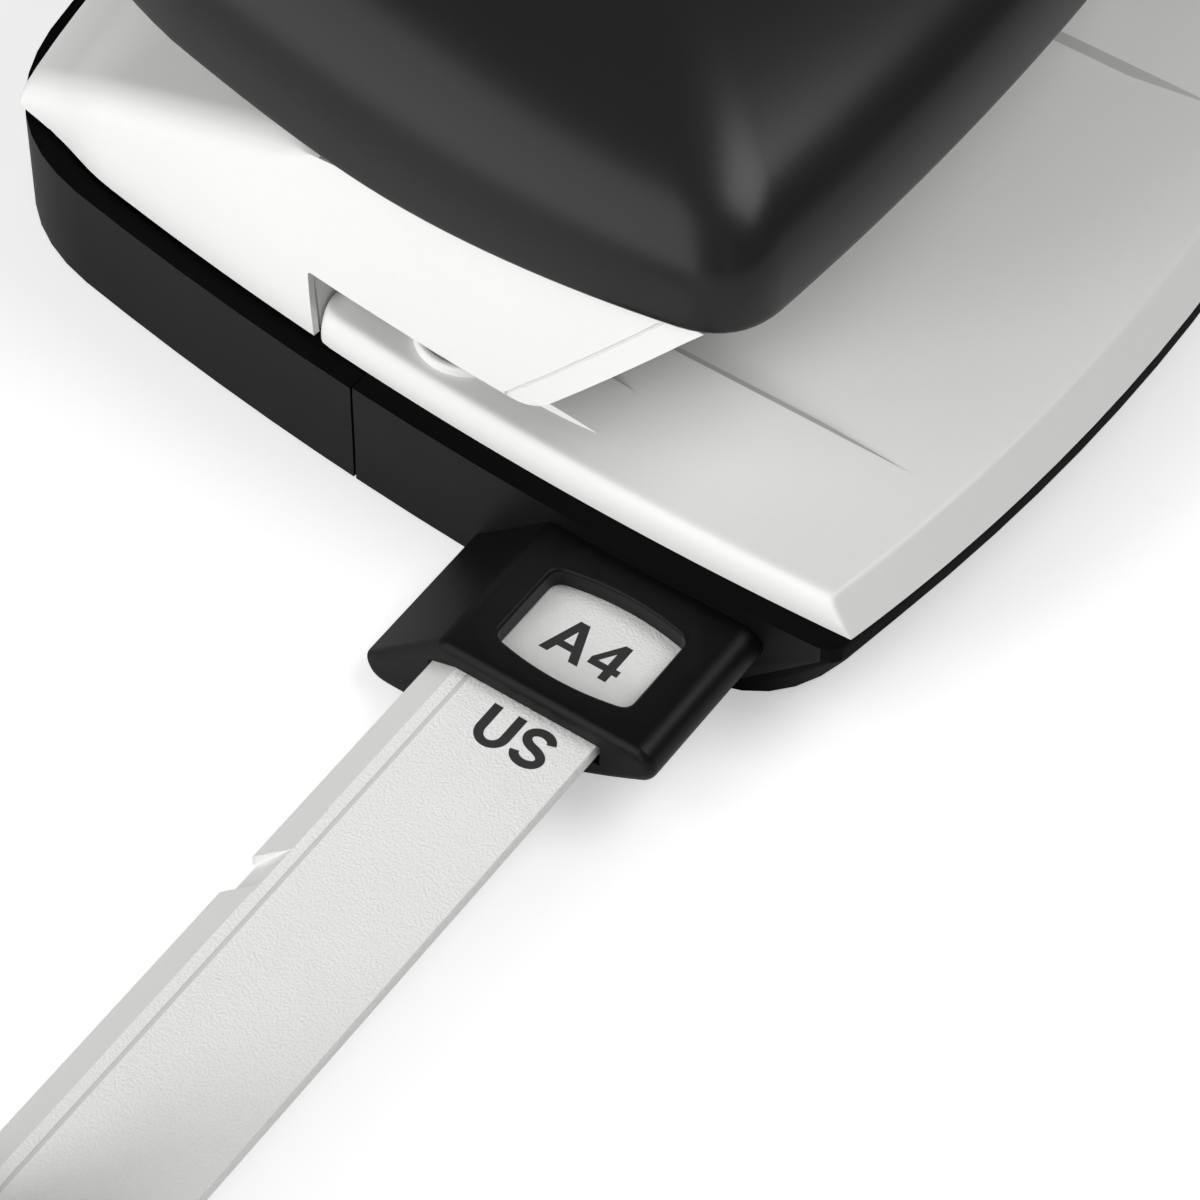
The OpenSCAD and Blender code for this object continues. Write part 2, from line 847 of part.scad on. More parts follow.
function dome_at(y) = dome_h + crown_tilt * (y - handle_mid_y)
    + crown_h * exp(-pow((y - crown_y) / crown_l, 2));
function dome_ring(t, f, low, cut) =
    let (s = pow(max(0, 1 - pow(f, dome_steep)), dome_round))
    [for (p = mirrored(h_half(t, 6, 24)))
        let (x = p[0] * s, y = handle_mid_y + (p[1] - handle_mid_y) * s)
        [x, y, rim_at(y) + low + (dome_at(y) - cut) * f]];

dome_steps = [0, 0.2, 0.4, 0.55, 0.68, 0.79, 0.87, 0.93, 0.97, 0.99];

module handle_shell() {
    inner = [for (i = [len(dome_steps) - 1 : -1 : 0])
        dome_ring(handle_wall, dome_steps[i], 0, handle_wall)];
    outer = [for (f = dome_steps) dome_ring(0, f, 0, 0)];
    top = [0, handle_mid_y, rim_at(handle_mid_y) + dome_at(handle_mid_y)];
    color([0.1, 0.1, 0.11])
        skin(concat(inner, outer), top - [0, 0, handle_wall], top);
}

// Lever: a top plate with two cheeks that swing on the pivot pin
lever_front_y = -16;
cheek_step_y = 8;
cheek_step_z = rim_z + 9;
eye_r = press_r + 2;
boss_front_y = -8;
boss_rear_y = 12;
boss_spots = [for (s = [-1, 1]) each [[s * boss_x, boss_front_y], [s * boss_x, boss_rear_y]]];

module lever_plate() {
    color([0.6, 0.61, 0.63])
    difference() {
        union() {
            translate([-cheek_x - cheek_t, lever_front_y, lever_top - lever_t])
                cube([2 * (cheek_x + cheek_t), lever_end_y - lever_front_y, lever_t]);
            for (s = [-1, 1])
                translate([s * (cheek_x + cheek_t / 2) - cheek_t / 2, 0, 0])
                    rotate([90, 0, 90])
                        linear_extrude(cheek_t) {
                            translate([pivot_y, pivot_z])
                                circle(r = cheek_r, $fn = fn_round);
                            translate([die_y, press_z])
                                circle(r = eye_r, $fn = fn_round);
                            polygon([[pivot_y - cheek_r * 0.5, pivot_z + cheek_r * 0.85],
                                [pivot_y + cheek_r * 0.4, pivot_z - cheek_r * 0.9],
                                [die_y, press_z - eye_r * 0.98], [die_y + eye_r * 0.9, press_z],
                                [cheek_step_y, cheek_step_z],
                                [lever_end_y, lever_top - lever_t], [lever_end_y, lever_top],
                                [lever_front_y, lever_top]]);
                        }
        }
        translate([0, pivot_y, pivot_z])
            rotate([0, 90, 0])
                cylinder(r = pivot_r + run_fit, h = far, center = true, $fn = fn_round);
        translate([0, die_y, press_z])
            rotate([0, 90, 0])
                cylinder(r = press_r, h = far, center = true, $fn = fn_round);
        for (p = boss_spots)
            translate([p[0], p[1], lever_top - 2 * lever_t])
                cylinder(r = screw_r, h = 3 * lever_t, $fn = fn_round);
    }
}

press_gap = 3.8;
press_half = handle_half_w - handle_wall - press_gap;

module press_bar() {
    color([0.74, 0.75, 0.77])
        translate([0, die_y, press_z])
            rotate([0, 90, 0])
                cylinder(r = press_r, h = 2 * press_half, center = true, $fn = fn_round);
}

// Posts moulded into the handle that the lever is screwed to
screw_bite = 3;
pan_h = 1.2;

module lever_posts() {
    color([0.11, 0.11, 0.12])
    for (p = boss_spots)
        translate([p[0], p[1], lever_top])
            difference() {
                cylinder(r = boss_r, h = dome_ceiling(p) - lever_top + handle_wall / 2, $fn = fn_round);
                translate([0, 0, -screw_bite])
                    cylinder(r = screw_r, h = 2 * screw_bite, $fn = fn_round);
            }
}

function dome_frac(p) = max(abs(p[0]) / (h_side(p[1], handle_wall)), 0.05);
function dome_ceiling(p) = rim_at(p[1]) + (dome_at(p[1]) - handle_wall)
    * pow(1 - pow(dome_frac(p), 1 / dome_round), 1 / dome_steep);

module lever_screws() {
    color([0.5, 0.5, 0.52])
    for (p = boss_spots)
        translate([p[0], p[1], lever_top - lever_t]) {
            cylinder(r = screw_r, h = lever_t + screw_bite, $fn = fn_round);
            translate([0, 0, -pan_h])
                cylinder(r = screw_head_r, h = pan_h, $fn = fn_round);
        }
}

// Guide bar with one bevelled edge, a scored line and a detent notch
module guide_bar() {
    color([0.9, 0.9, 0.89])
    difference() {
        along_bar(bar_out_x, bar_len, bar_section());
        translate([bar_out_x - bar_t, bar_groove_y - score_w / 2, bar_top - score_d])
            cube([bar_len + 2 * bar_t, score_w, bar_t]);
        translate([notch_x, bar_back_y, bar_z - bar_t])
            linear_extrude(3 * bar_t)
                polygon([[0, notch_d], [-notch_slope * 0.2, -notch_d], [-notch_floor, -notch_d],
                         [-notch_floor - notch_slope, 0], [-notch_floor - notch_slope, notch_d]]);
    }
}

// End stop: a block on the bar's outer end with an upright finger for the paper's edge
stop_grip = 3.6;
stop_t = 3;
stop_wall = 2;
stop_head = 2.4;
finger_r = 8;
dish_r = 5.5;

module bar_end_stop() {
    y_mid = (bar_front_y + bar_back_y) / 2;
    color([0.08, 0.08, 0.085])
    difference() {
        union() {
            translate([bar_out_x - stop_t, bar_front_y - stop_wall, bar_z - stop_wall])
                cube([stop_grip + stop_t, bar_w + 2 * stop_wall, bar_t + stop_wall + stop_head]);
            translate([bar_out_x - stop_t, y_mid, bar_top + stop_wall])
                rotate([90, 0, 90])
                    linear_extrude(stop_t) {
                        translate([-finger_r, 0])
                            square([2 * finger_r, finger_r]);
                        translate([0, finger_r])
                            circle(r = finger_r, $fn = fn_round);
                    }
        }
        along_bar(bar_out_x, far, bar_section());
        translate([bar_out_x - stop_t * 2 / 3, y_mid, bar_top + stop_wall + finger_r])
            rotate([0, -90, 0])
                cylinder(r = dish_r, h = 2 * stop_t, $fn = fn_round);
    }
}

// Window housing: a wedge on the base's side with the bar's slot and a window with bowed edges
nose_ang = 238;
nose_step = 18.5;
chin_l = 8.9;
toe_h = 2.9;
toe_l = 2.8;
brow_w = 0.8;
brow_h = 0.3;
function nose_at(a) = [housing_nose_y + housing_edge_r * (1 + cos(a)),
    housing_top - housing_edge_r * (1 - sin(a))];

module housing_side_view() {
    toe = [housing_toe_y, housing_low + toe_h];
    toe_corner = [housing_toe_y, housing_low];
    toe_end = [housing_toe_y - toe_l, housing_low];
    belly = [housing_belly_y, housing_low];
    chin = nose_at(nose_ang) - chin_l * [sin(nose_ang), -cos(nose_ang)];
    polygon(concat(
        [for (i = [0 : 4]) bez(toe, toe_corner, toe_end, i / 4)],
        [for (i = [0 : 5]) bez(belly, chin, nose_at(nose_ang), i / 6)],
        [for (a = [nose_ang : -nose_step : 90]) nose_at(a)],
        [[housing_brow_y, housing_top], [housing_brow_y + brow_w, housing_top - brow_h]]));
}

// One side of the window from one end to the other: a bowed edge with a rounded corner at each end
function window_edge(u, g) = window_w / 2 + g - window_bow * u * u;
function window_half(g) =
    let (l = window_l / 2 + g,
         c = 1 - window_corner / l,
         x = window_edge(c, g))
    concat(
        [for (i = [0 : window_steps])
            bez([window_edge(1, g) - window_corner, -l], [window_edge(1, g), -l], [x, -l * c],
                i / window_steps)],
        [for (i = [1 : window_steps - 1])
            let (u = c * (2 * i / window_steps - 1))
            [window_edge(u, g), u * l]],
        [for (i = [0 : window_steps])
            bez([x, l * c], [window_edge(1, g), l], [window_edge(1, g) - window_corner, l],
                i / window_steps)]);
function window_plan(g) = concat(window_half(g), [for (p = window_half(g)) [-p[0], -p[1]]]);

module window_housing() {
    color([0.06, 0.06, 0.065])
    difference() {
        translate([housing_out_x, 0, 0])
            rotate([90, 0, 90])
                linear_extrude(housing_len)
                    housing_side_view();
        bar_channel();
        translate([window_x, window_y, bar_top - 1])
            linear_extrude(far)
                polygon(window_plan(0));
        translate([window_x, window_y, housing_top - window_flare])
            linear_extrude(far)
                polygon(window_plan(window_flare));
    }
}

base_front();
chip_drawer();
drawer_feet();
deck_plate();
upper_body();
punch_carrier();
roof_posts();
post_rivets();
die_left();
die_right();
guide_bush_left();
guide_bush_right();
punch_pin_left();
punch_pin_right();
pin_clip_left();
pin_clip_right();
pin_spring_left();
pin_spring_right();
pivot_pin();
pivot_clips();
handle_shell();
lever_plate();
press_bar();
lever_posts();
lever_screws();
guide_bar();
bar_end_stop();
window_housing();
detent_spring();
base_screws();
base_feet();
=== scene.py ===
"""Dressed model of a desktop two-hole paper punch with a pull-out format guide bar."""
from __future__ import annotations

import logging
import math
from contextlib import contextmanager
from dataclasses import dataclass
from enum import Enum
from typing import Callable, Iterator, Sequence

import bmesh
import bpy
from mathutils import Matrix, Vector


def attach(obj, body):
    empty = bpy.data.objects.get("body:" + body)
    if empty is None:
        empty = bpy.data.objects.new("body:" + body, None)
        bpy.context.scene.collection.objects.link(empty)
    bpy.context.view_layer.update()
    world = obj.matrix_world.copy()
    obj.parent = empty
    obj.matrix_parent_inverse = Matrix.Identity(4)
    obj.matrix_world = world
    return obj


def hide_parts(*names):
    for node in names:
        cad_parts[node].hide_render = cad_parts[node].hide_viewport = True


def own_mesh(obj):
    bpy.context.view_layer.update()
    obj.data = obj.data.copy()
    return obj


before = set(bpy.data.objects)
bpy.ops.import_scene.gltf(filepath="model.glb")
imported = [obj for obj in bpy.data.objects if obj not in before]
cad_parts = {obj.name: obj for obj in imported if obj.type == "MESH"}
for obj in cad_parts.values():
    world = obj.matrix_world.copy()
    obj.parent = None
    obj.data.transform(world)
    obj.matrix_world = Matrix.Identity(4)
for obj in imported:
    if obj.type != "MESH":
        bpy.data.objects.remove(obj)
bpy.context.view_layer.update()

log = logging.getLogger("paper_punch")
MM = 0.001
Pair = tuple[float, float]
Point = tuple[float, float, float]
Outline = list[Pair]
Ring = list[Point]
Letter = tuple[list[Outline], float]
Obj = bpy.types.Object
Tree = bpy.types.NodeTree
Socket = bpy.types.NodeSocket


class Bench:
    """Edit-mode tools shared by all sub-assemblies; lengths are in millimetres."""

    WELD = 2e-6
    FLAT = 0.6
    ON_CUT = 1e-5
    SEED_R = 0.01

    @staticmethod
    def clear(obj: Obj | None = None) -> None:
        """Leaves edit mode and selects one object or nothing.

        Args:
            obj: The object that is selected and made active.
        """
        if bpy.context.mode != "OBJECT":
            bpy.ops.object.mode_set(mode="OBJECT")
        bpy.ops.object.select_all(action="DESELECT")
        if obj:
            obj.select_set(True)
            bpy.context.view_layer.objects.active = obj

    @staticmethod
    def start(name: str, add: Callable[..., set[str]], **sizes: float | str) -> Obj:
        """Adds a primitive mesh.

        Args:
            name: Name of the new object.
            add: The operator that adds it.
            sizes: The operator's settings.

        Returns:
            The new mesh object.
        """
        Bench.clear()
        add(**sizes)
        obj = bpy.context.object
        obj.name = obj.data.name = name
        return obj

    @staticmethod
    @contextmanager
    def editing(obj: Obj) -> Iterator[None]:
        """Holds one object in edit mode.

        Args:
            obj: The mesh object to edit.

        Returns:
            A context that leaves edit mode at its end.
        """
        Bench.clear(obj)
        bpy.ops.object.mode_set(mode="EDIT")
        try:
            yield
        finally:
            bpy.ops.object.mode_set(mode="OBJECT")

    @staticmethod
    def live(obj: Obj) -> bmesh.types.BMesh:
        """Refreshes the index tables of an edit mesh.

        Args:
            obj: The object in edit mode.

        Returns:
            The edit mesh.
        """
        bm = bmesh.from_edit_mesh(obj.data)
        bm.verts.index_update()
        bm.verts.ensure_lookup_table()
        return bm

    @staticmethod
    def reshape(obj: Obj, place: Callable[[Vector], Point]) -> None:
        """Moves every vertex of an object in edit mode.

        Args:
            obj: The object in edit mode.
            place: Gives the finished point, in millimetres, for a vertex's place.
        """
        for vert in Bench.live(obj).verts:
            vert.co = Vector(place(vert.co)) * MM
        bmesh.update_edit_mesh(obj.data)

    @staticmethod
    def face_out(obj: Obj, solid: bool = False) -> None:
        """Turns all faces of an object in edit mode the same way.

        Args:
            obj: The object in edit mode.
            solid: The form is closed, so its faces look outwards.
        """
        bpy.ops.mesh.select_all(action="SELECT")
        bpy.ops.mesh.normals_make_consistent(inside=False)
        if solid and Bench.live(obj).calc_volume(signed=True) < 0:
            bpy.ops.mesh.flip_normals()

    @staticmethod
    def pick(obj: Obj, edges: Callable[[bmesh.types.BMEdge], bool]) -> None:
        """Selects only the edges that a test accepts.

        Args:
            obj: The object in edit mode.
            edges: Test of one edge.
        """
        bpy.ops.mesh.select_mode(type="EDGE")
        bpy.ops.mesh.select_all(action="DESELECT")
        for edge in [e for e in Bench.live(obj).edges if edges(e)]:
            edge.select_set(True)
        bmesh.update_edit_mesh(obj.data)

    @staticmethod
    def _grow(obj: Obj, last: Sequence[int]) -> list[int]:
        """Extrudes a ring of edges.

        Args:
            obj: The object in edit mode.
            last: Vertex numbers of the ring.

        Returns:
            The new ring's vertex numbers, in the same order.
        """
        ring = set(last)
        Bench.pick(obj, lambda e: all(v.index in ring for v in e.verts))
        bpy.ops.mesh.extrude_edges_move()
        bm = Bench.live(obj)
        return [next(e.other_vert(bm.verts[i]).index for e in bm.verts[i].link_edges
                     if e.other_vert(bm.verts[i]).select) for i in last]

    @staticmethod
    def _tip(obj: Obj, last: Sequence[int], tip: Point) -> None:
        """Closes a ring with a fan to one point.

        Args:
            obj: The object in edit mode.
            last: Vertex numbers of the ring.
            tip: The point.
        """
        ring = set(last)
        Bench.pick(obj, lambda e: all(v.index in ring for v in e.verts))
        bpy.ops.mesh.extrude_edges_move()
        bpy.ops.mesh.select_mode(type="VERT")
        bpy.ops.mesh.merge(type="CENTER")
        bm = Bench.live(obj)
        next(v for v in bm.verts if v.select).co = Vector(tip) * MM
        bmesh.update_edit_mesh(obj.data)

    @staticmethod
    def loft(name: str, rings: Sequence[Ring],
             tips: tuple[Point | None, Point | None] = (None, None), closed: bool = False) -> Obj:
        """Extrudes a circle ring by ring into a skin.

        Args:
            name: Name of the new object.
            rings: Rings with equal point counts, in order along the skin.
            tips: Points that close the first and the last ring.
            closed: Joins the last ring to the first with a bridge.

        Returns:
            The new mesh object.
        """
        obj = Bench.start(name, bpy.ops.mesh.primitive_circle_add, vertices=len(rings[0]),
                          radius=Bench.SEED_R, fill_type="NOTHING")
        with Bench.editing(obj):
            bm = Bench.live(obj)
            first = list(range(len(rings[0])))
            for i, p in zip(first, rings[0]):
                bm.verts[i].co = Vector(p) * MM
            last = first
            for ring in rings[1:]:
                last = Bench._grow(obj, last)
                bm = Bench.live(obj)
                for i, p in zip(last, ring):
                    bm.verts[i].co = Vector(p) * MM
            bmesh.update_edit_mesh(obj.data)
            if tips[1]:
                Bench._tip(obj, last, tips[1])
            if tips[0]:
                Bench._tip(obj, first, tips[0])
            if closed:
                ends = (set(first), set(last))
                Bench.pick(obj, lambda e: any(all(v.index in r for v in e.verts) for r in ends))
                bpy.ops.mesh.bridge_edge_loops()
            Bench.face_out(obj, all(tips))
        return obj

    @staticmethod
    def sheet(name: str, outline: Sequence[Pair], u_cuts: Sequence[float],
              v_cuts: Sequence[float], shape: Callable[[float, float], Point]) -> Obj:
        """Cuts a flat outline into a grid and shapes it into a curved sheet.

        Args:
            name: Name of the new object.
            outline: Corners of the flat pattern.
            u_cuts: Places of the cuts across the first pattern direction.
            v_cuts: Places of the cuts across the second one.
            shape: Gives the finished point for a pattern point.

        Returns:
            The new mesh object, one layer thick.
        """
        obj = Bench.start(name, bpy.ops.mesh.primitive_circle_add, vertices=len(outline),
                          radius=Bench.SEED_R, fill_type="NGON")
        with Bench.editing(obj):
            for vert, (u, v) in zip(Bench.live(obj).verts, outline):
                vert.co = (u, v, 0.0)
            bmesh.update_edit_mesh(obj.data)
            for axis, cuts in ((0, u_cuts), (1, v_cuts)):
                for cut in cuts:
                    bpy.ops.mesh.select_all(action="SELECT")
                    spot, normal = [0.0, 0.0, 0.0], [0.0, 0.0, 0.0]
                    spot[axis], normal[axis] = cut, 1.0
                    bpy.ops.mesh.bisect(plane_co=spot, plane_no=normal, threshold=Bench.ON_CUT)
            Bench.reshape(obj, lambda co: shape(co.x, co.y))
            Bench.face_out(obj)
        return obj

    @staticmethod
    def thicken(obj: Obj, depth: float, out: Vector) -> None:
        """Gives a sheet its thickness, away from a direction that its faces should look in.

        Args:
            obj: The sheet.
            depth: Thickness.
            out: Direction that most faces look in when they are right.
        """
        total = sum((p.normal * p.area for p in obj.data.polygons), Vector())
        if total.dot(out) < 0:
            with Bench.editing(obj):
                bpy.ops.mesh.select_all(action="SELECT")
                bpy.ops.mesh.flip_normals()
        mod = obj.modifiers.new("thickness", "SOLIDIFY")
        mod.thickness = depth * MM
        mod.offset = -1.0
        mod.use_even_offset = True
        Bench.apply(obj)

    @staticmethod
    def soften(obj: Obj, width: float, angle: float = 40.0, segments: int = 3,
               where: Callable[[Vector], bool] | None = None) -> None:
        """Rounds the sharp edges of a finished form.

        Args:
            obj: The form.
            width: Width of the rounding.
            angle: Edges sharper than this many degrees are rounded.
            segments: Steps of the rounding.
            where: Test of an edge's end, in metres; edges that fail it stay sharp.
        """
        limit = math.radians(angle)

        def sharp(edge: bmesh.types.BMEdge) -> bool:
            """Tells whether an edge is rounded."""
            return len(edge.link_faces) == 2 and edge.calc_face_angle(0.0) > limit and \
                (where is None or all(where(v.co) for v in edge.verts))

        with Bench.editing(obj):
            Bench.pick(obj, sharp)
            bpy.ops.mesh.bevel(offset=width * MM, segments=segments, clamp_overlap=True)

    @staticmethod
    def apply(obj: Obj) -> None:
        """Applies all modifiers of an object.

        Args:
            obj: The object.
        """
        Bench.clear(obj)
        for mod in list(obj.modifiers):
            bpy.ops.object.modifier_apply(modifier=mod.name)

    @staticmethod
    def smooth(obj: Obj, angle: float = 32.0, flat: bool = True) -> None:
        """Shades an object smooth, except over edges sharper than an angle.

        Args:
            obj: The object.
            angle: Sharp edges turn more than this many degrees.
            flat: Keeps large flat faces flat beside their rounded edges.
        """
        Bench.clear(obj)
        bpy.ops.object.shade_smooth_by_angle(angle=math.radians(angle))
        if flat:
            mod = obj.modifiers.new("normals", "WEIGHTED_NORMAL")
            mod.keep_sharp = True
            mod.weight = 90
            Bench.apply(obj)

    @staticmethod
    def cap(obj: Obj) -> None:
        """Closes the open ends of a skin with flat faces.

        Args:
            obj: The skin, with flat ends of any outline.
        """
        with Bench.editing(obj):
            bpy.ops.mesh.select_all(action="SELECT")
            bpy.ops.mesh.fill_holes(sides=0)
            Bench.face_out(obj, True)

    @staticmethod
    def cut(obj: Obj, cutters: Sequence[Obj]) -> None:
        """Cuts forms out of a form and removes them.

        Args:
            obj: The form that is cut.
            cutters: Closed forms to take out of it.
        """
        for tool in cutters:
            mod = obj.modifiers.new("cut", "BOOLEAN")
            mod.operation, mod.solver, mod.object = "DIFFERENCE", "EXACT", tool
            Bench.apply(obj)
            bpy.data.objects.remove(tool)

    @staticmethod
    def copy_of(node: str, name: str, width: float, angle: float = 30.0) -> Obj:
        """Makes a merged copy of a CAD node with its sharp edges rounded.

        Args:
            node: Name of the CAD node.
            name: Name of the new object.
            width: Width of the rounding; with 0 the edges stay as they are.
            angle: Edges sharper than this many degrees are rounded.

        Returns:
            The new mesh object, which stands for the node.
        """
        Bench.clear()
        obj = bpy.data.objects.new(name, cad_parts[node].data.copy())
        bpy.context.scene.collection.objects.link(obj)
        obj.data.materials.clear()
        with Bench.editing(obj):
            bpy.ops.mesh.select_all(action="SELECT")
            bpy.ops.mesh.remove_doubles(threshold=Bench.WELD)
            bpy.ops.mesh.dissolve_limited(angle_limit=math.radians(Bench.FLAT))
        if width > 0:
            Bench.soften(obj, width, angle, 2)
        Bench.smooth(obj, 35.0)
        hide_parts(node)
        return obj


def middles(rings: Sequence[Ring]) -> tuple[Point, Point]:
    """Returns the middles of the first and the last ring."""
    first, last = (tuple(sum(c) / len(r) for c in zip(*r)) for r in (rings[0], rings[-1]))
    return first, last


def add_node(tree: Tree, kind: str, **values: float | Point) -> bpy.types.Node:
    """Adds a shader node and sets some of its inputs.

    Args:
        tree: The node tree.
        kind: Type of the node.
        values: Values by the inputs' names, with _ for a space.

    Returns:
        The new node.
    """
    made = tree.nodes.new("ShaderNode" + kind)
    for key, value in values.items():
        made.inputs[key.replace("_", " ")].default_value = value
    return made


class Grain(Enum):
    """How the fine surface of a finish runs."""

    EVEN = (1.0, 1.0, 1.0)
    ALONG_X = (0.03, 1.0, 1.0)
    ALONG_Z = (1.0, 1.0, 0.03)


@dataclass(frozen=True)
class Finish:
    """One procedural finish on object coordinates.

    Attributes:
        name: Name of the material.
        slot: Material slot of the record; not used.
        colour: Linear base colour.
        rough: Mean roughness.
        metal: Metallic value.
        grain: Direction of the fine grain.
        grain_size: Size of the fine grain in millimetres.
        grain_depth: Depth of the fine grain in millimetres.
        tint: Share by which the colour drifts over the surface.
        rough_span: Spread of the roughness over the surface.
        wear: Share by which edges are rubbed lighter.
        shine: Specular level of the bare surface.
    """

    name: str
    slot: str
    colour: Point
    rough: float
    metal: float = 0.0
    grain: Grain = Grain.EVEN
    grain_size: float = 0.4
    grain_depth: float = 0.01
    tint: float = 0.06
    rough_span: float = 0.1
    wear: float = 0.0
    shine: float = 0.5

    FINE_DETAIL = 3.0
    BROAD_DETAIL = 4.0
    BROAD_SCALE = 45.0
    FINE_SHARE = 0.35
    DRIFT = (0.3, 0.7)
    RUBBED = (0.52, 0.62)
    RUB_GAIN, RUB_LIFT = 2.5, 0.03
    MIRROR = 0.02

    def material(self) -> bpy.types.Material:
        """Returns the material, made on first use."""
        found = bpy.data.materials.get(self.name)
        return found or self._build()

    def _build(self) -> bpy.types.Material:
        """Builds the node tree.

        Returns:
            The new material.
        """
        mat = bpy.data.materials.new(self.name)
        mat.use_nodes = True
        tree = mat.node_tree
        join = tree.links.new
        shader = tree.nodes["Principled BSDF"]
        shader.inputs["Metallic"].default_value = self.metal
        shader.inputs["Specular IOR Level"].default_value = self.shine
        coord = add_node(tree, "TexCoord")
        run = add_node(tree, "Mapping", Scale=self.grain.value)
        join(coord.outputs["Object"], run.inputs["Vector"])
        fine = add_node(tree, "TexNoise", Scale=1 / MM / self.grain_size, Detail=self.FINE_DETAIL)
        join(run.outputs["Vector"], fine.inputs["Vector"])
        broad = add_node(tree, "TexNoise", Scale=self.BROAD_SCALE, Detail=self.BROAD_DETAIL)
        join(coord.outputs["Object"], broad.inputs["Vector"])
        self._paint(tree, shader, broad.outputs["Fac"], fine.outputs["Fac"])
        span = add_node(tree, "MapRange", To_Min=max(self.MIRROR, self.rough - self.rough_span),
                        To_Max=min(1.0, self.rough + self.rough_span))
        join(broad.outputs["Fac"], span.inputs["Value"])
        join(span.outputs["Result"], shader.inputs["Roughness"])
        bump = add_node(tree, "Bump", Strength=1.0, Distance=self.grain_depth * MM)
        join(fine.outputs["Fac"], bump.inputs["Height"])
        join(bump.outputs["Normal"], shader.inputs["Normal"])
        return mat

    def _paint(self, tree: Tree, shader: bpy.types.Node, broad: Socket, fine: Socket) -> None:
        """Drifts the colour with the noise and rubs the edges lighter.

        Args:
            tree: The material's node tree.
            shader: Its surface shader.
            broad: Value of the broad noise.
            fine: Value of the fine noise.
        """
        join = tree.links.new
        ramp = add_node(tree, "ValToRGB")
        for stop, place, sign in zip(ramp.color_ramp.elements, self.DRIFT, (-1, 1)):
            stop.position = place
            stop.color = (*[min(1.0, c * (1.0 + sign * self.tint)) for c in self.colour], 1.0)
        mix = add_node(tree, "Mix", Factor=self.FINE_SHARE)
        join(broad, mix.inputs[2])
        join(fine, mix.inputs[3])
        join(mix.outputs[0], ramp.inputs["Fac"])
        if not self.wear:
            join(ramp.outputs["Color"], shader.inputs["Base Color"])
            return
        geo = add_node(tree, "NewGeometry")
        edge = add_node(tree, "MapRange", From_Min=self.RUBBED[0], From_Max=self.RUBBED[1],
                        To_Max=self.wear)
        join(geo.outputs["Pointiness"], edge.inputs["Value"])
        rub = add_node(tree, "Mix")
        rub.data_type = "RGBA"
        light = [min(1.0, c * self.RUB_GAIN + self.RUB_LIFT) for c in self.colour]
        rub.inputs[7].default_value = (*light, 1.0)
        join(edge.outputs["Result"], rub.inputs[0])
        join(ramp.outputs["Color"], rub.inputs[6])
        join(rub.outputs[2], shader.inputs["Base Color"])


class Finishes:
    """The finishes of the punch."""

    WHITE = Finish("white_satin_paint", "white_paint", (0.80, 0.80, 0.79), 0.36, grain_size=1.1,
                   grain_depth=0.006, tint=0.012, rough_span=0.05)
    # Darker copy of the white paint: painted shade on the deck fold's step, where the crease falls
    # into shadow.
    FOLD_SHADE = Finish("white_fold_painted_shade", "white_paint", (0.54, 0.54, 0.535), 0.4, grain_size=1.1,
                  grain_depth=0.006, tint=0.012)
    HANDLE = Finish("handle_black_gloss", "handle_plastic", (0.011, 0.011, 0.0115), 0.3,
                    grain_size=0.5, grain_depth=0.003, rough_span=0.03, shine=0.32)
    BASE = Finish("base_black_moulding", "base_plastic", (0.003, 0.003, 0.0032), 0.46,
                  grain_size=0.35, grain_depth=0.01, wear=0.05, shine=0.2)
    # Rougher, nearly unreflective copy of the base finish: partly a duller texture, partly painted
    # shade that darkens faces looking up, forward or down.
    BASE_DULL_SHADE = Finish("base_black_dull_painted_shade", "base_plastic", (0.003, 0.003, 0.0032), 0.6,
                       grain_size=0.35, grain_depth=0.01, wear=0.02, shine=0.03)
    HOUSING = Finish("window_black_soft", "window_plastic", (0.0022, 0.0022, 0.0023), 0.42,
                     grain_size=0.3, grain_depth=0.02, wear=0.04, shine=0.2)
    BAR = Finish("bar_grained_grey", "bar_plastic", (0.90, 0.90, 0.89), 0.55, grain_size=0.28,
                 grain_depth=0.11, tint=0.04)
    # Smoother, darker copy of the bar's grey for its back bevel: the smoother grain is real, the
    # darker colour is painted shade on a slope turned from the light.
    BAR_EDGE_SHADE = Finish("bar_smooth_grey_painted_shade", "bar_plastic", (0.73, 0.73, 0.72), 0.42, grain_size=0.6,
                      grain_depth=0.004, tint=0.01)
    # Darker grey on the score line's faces: painted shade standing for the shadow inside the
    # groove.
    BAR_SCORE_SHADE = Finish("bar_score_painted_shade", "bar_plastic", (0.67, 0.67, 0.66), 0.5, grain_size=0.6,
                       grain_depth=0.004, tint=0.01)
    INK = Finish("mark_dark_print", "window_plastic", (0.026, 0.026, 0.027), 0.6, grain_size=0.2,
                 grain_depth=0.004)
    STEEL = Finish("zinc_plated_steel", "steel", (0.56, 0.57, 0.58), 0.34, metal=1.0,
                   grain=Grain.ALONG_X, grain_size=0.25, grain_depth=0.008, tint=0.08)
    GROUND = Finish("ground_tool_steel", "die_steel", (0.46, 0.47, 0.49), 0.26, metal=1.0,
                    grain=Grain.ALONG_Z, grain_size=0.2, grain_depth=0.006)
    WIRE = Finish("drawn_spring_wire", "spring_steel", (0.55, 0.56, 0.58), 0.3, metal=1.0,
                  grain_size=0.15, grain_depth=0.005)
    DARK = Finish("blackened_steel", "dark_steel", (0.12, 0.12, 0.125), 0.42, metal=1.0,
                  grain_size=0.25, grain_depth=0.008, wear=0.3)
    BRASS = Finish("turned_bush_brass", "bush_brass", (0.68, 0.48, 0.2), 0.3, metal=1.0,
                   grain=Grain.ALONG_X, grain_size=0.2, grain_depth=0.005)
    RUBBER = Finish("foot_rubber", "rubber", (0.03, 0.03, 0.03), 0.82, grain_size=0.3,
                    grain_depth=0.03)


